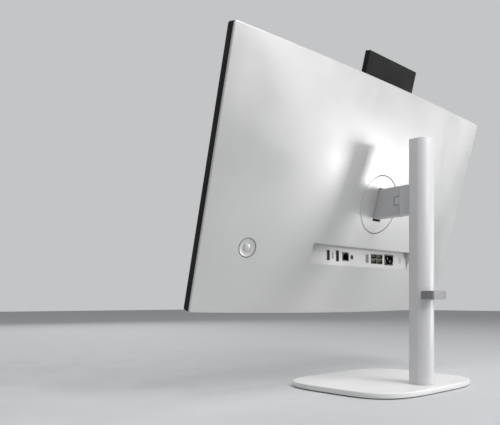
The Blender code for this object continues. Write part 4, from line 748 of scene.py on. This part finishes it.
FLUSH, TRAY_FLOOR, SOCKET_FIT = 0.3 * MM, 2.4 * MM, 0.3
tray_low, tray_high, tray_half = RECESS_LOW + TRAY_FIT, RECESS_HIGH - TRAY_FIT, RECESS_HALF - TRAY_FIT
ceiling, below = tray_high - TRAY_WALL, tray_low - 2 * MM
tray = across(tray_half, lambda x: [(dome(x, tray_low), tray_low), (dome(x, tray_high), tray_high),
                                    (ramp(x, tray_high) - TRAY_FLOOR, tray_high),
                                    (ramp(x, tray_low) - TRAY_FLOOR, tray_low)])
space = across(tray_half - TRAY_WALL, lambda x: [(ramp(x, below) + FLUSH, below),
                                                 (dome(x, tray_high) + 10 * MM, below),
                                                 (dome(x, tray_high) + 10 * MM, ceiling),
                                                 (ramp(x, ceiling), ceiling)])
socket_holes = [moved(soft_box(((-w / 2 - SOCKET_FIT) * MM, -20 * MM, (-h / 2 - SOCKET_FIT) * MM),
                               ((w / 2 + SOCKET_FIT) * MM, 20 * MM, (h / 2 + SOCKET_FIT) * MM)),
                      HEAD.inverted() @ socket_place(x * MM)) for x, w, h in SOCKETS.values()]
tray = cut(tray, space, together(*socket_holes))
# The ramp's colour is the cover's paint painted a shade darker: painted shade under the recess's ceiling.
piece("socket_ramp", tray, "tray_silver_painted_shade", "head", "socket_tray", HEAD, 25)

# %% [markdown]
# ## Sockets
# Each socket is a block that stands on the board inside and shows its mouth through the ramp. A mouth is cut
# out, and the tongues and gold contacts that a plug meets are set into it.

# %% Socket blocks
BOARD_DEPTH, SOCKET_PROUD, MOUTH_ROLL = 17 * MM, 0.6 * MM, 0.25 * MM


def socket_back(x):
    """Distance from the ramp at x back to the socket board, square to the ramp, less the fit."""
    return -BOARD_DEPTH - (ramp(x, ROW) - ramp(0, ROW)) * math.cos(TILT) + GAP


def socket_body(x, loop):
    """A socket's block; loop(inset) is its outline, drawn in by 0.25 mm at the mouth."""
    levels = [socket_back(x), SOCKET_PROUD - MOUTH_ROLL, SOCKET_PROUD]
    return skin(along([loop(0), loop(0), loop(MOUTH_ROLL)], levels, "y"))


def sized(name):
    """A socket's middle in metres, and its outline as a function of inset."""
    x, width, height = (value * MM for value in SOCKETS[name])
    return x, lambda inset: arcs(width - 2 * inset, height - 2 * inset, 0.5 * MM, None, 5)


def mm_box(low, high, roll=0.0):
    """A box given in millimetres."""
    return soft_box(np.array(low) * MM, np.array(high) * MM, roll * MM, 2)


# %% Flat sockets with a tongue: name, thickness of the tongue in mm, contacts, shell
FLAT_SOCKETS = (("video_socket", 1.2, 9, "socket_black"), ("slim_socket", 0.7, 6, "shell_nickel"),
                ("display_socket", 1.2, 10, "socket_black"))
FLAT_WALL = 0.8
for name, tongue, count, shell in FLAT_SOCKETS:
    x, loop = sized(name)
    half_w, half_h = (side / 2 - FLAT_WALL for side in SOCKETS[name][1:])
    mouth = mm_box((-half_w, -5.4, -half_h), (half_w, 2, half_h))
    piece(name + "_body", cut(socket_body(x, loop), mouth), shell, "head", name, socket_place(x))
    blade = mm_box((-tongue / 2, -5.3, -half_h + 0.9), (tongue / 2, -0.5, half_h - 0.9), 0.15)
    piece(name + "_tongue", blade, "socket_black", "head", None, socket_place(x))
    rows = np.linspace(-half_h + 1.5, half_h - 1.5, count)
    strips = [mm_box((tongue / 2, -5, z - 0.18), (tongue / 2 + 0.12, -0.8, z + 0.18)) for z in rows]
    piece(name + "_contacts", together(*strips), "contact_gold", "head", None, socket_place(x))

# %% Network socket
x, loop = sized("network_socket")
mouth, latch = mm_box((-5.9, -8.4, -5), (5.9, 2, 2.8)), mm_box((-3, -8.4, 1.8), (3, 2, 5))
piece("network_body", cut(socket_body(x, loop), mouth, latch), "socket_black", "head", "network_socket",
      socket_place(x))
wires = [mm_box((px - 0.2, -8.2, -4.9), (px + 0.2, -1.5, -4.6)) for px in (np.arange(8) - 3.5) * 1.1]
piece("network_contacts", together(*wires), "contact_gold", "head", None, socket_place(x))

# %% Round audio socket and the blank cover beside it
x = SOCKETS["audio_socket"][0] * MM
profile = np.array([(0, -5.4), (1.5, -5.4), (1.5, 0.4), (1.75, 0.6), (2.5, 0.6), (2.7, 0.4)]) * MM
profile = np.concatenate([profile, [(2.7 * MM, socket_back(x)), (0, socket_back(x))]])
piece("audio_body", turned(profile, 64), "socket_black", "head", "audio_socket", socket_place(x))
x, loop = sized("option_cover")
slats = [mm_box((-2.2, -0.2, z - 0.5), (2.2, 2, z + 0.5)) for z in (-4, -2, 0, 2, 4)]
piece("option_blank", cut(socket_body(x, loop), together(*slats)), "blank_grey", "head", "option_cover",
      socket_place(x))

# %% Stacked data sockets
for name in ("data_stack_inner", "data_stack_outer"):
    x, loop = sized(name)
    storeys = (-3.4, 3.4)
    mouths = [mm_box((-6.1, -8.4, z - 2.5), (6.1, 2, z + 2.5)) for z in storeys]
    piece(name + "_shell", cut(socket_body(x, loop), together(*mouths)), "socket_black", "head", name,
          socket_place(x))
    tongues = [mm_box((-5.2, -8.3, z + 0.1), (5.2, -0.6, z + 1.9), 0.15) for z in storeys]
    piece(name + "_tongues", together(*tongues), "socket_black", "head", None, socket_place(x))
    strips = [mm_box((px - 0.45, -8, z - 0.05), (px + 0.45, -1.2, z + 0.08))
              for z in storeys for px in (np.arange(4) - 1.5) * 2.3]
    piece(name + "_contacts", together(*strips), "contact_gold", "head", None, socket_place(x))


# %% Mains inlet
def inlet_loop(half_w, half_h, crop):
    """A rectangle with its two lower corners cropped at 45 degrees, in millimetres."""
    return np.array([(half_w - crop, -half_h), (half_w, crop - half_h), (half_w, half_h), (-half_w, half_h),
                     (-half_w, crop - half_h), (crop - half_w, -half_h)]) * MM


x = SOCKETS["mains_inlet"][0] * MM
mouth = skin(along([inlet_loop(10.5, 6.5, 4.28)] * 2, [-8.4 * MM, 2 * MM], "y"))
body = socket_body(x, lambda inset: inlet_loop(11.7 - inset / MM, 7.7 - inset / MM, 5))
piece("inlet_body", cut(body, mouth), "socket_black", "head", "mains_inlet", socket_place(x))
blades = [mm_box((px - 0.8, -8.3, pz - 1.8), (px + 0.8, -1.4, pz + 1.8), 0.3)
          for px, pz in ((-6.4, -2), (6.4, -2), (0, 2))]
piece("inlet_blades", together(*blades), "shell_nickel", "head", None, socket_place(x))

# %% Lock slot
x, loop = sized("lock_plate")
keyway = mm_box((-1.3, -5.4, -2.9), (1.3, 2, 2.9))
# The lock plate takes the recess's darker paint: painted shade, as on the ramp.
piece("lock_face", cut(socket_body(x, loop), keyway), "tray_silver_painted_shade", "head", "lock_plate", socket_place(x))
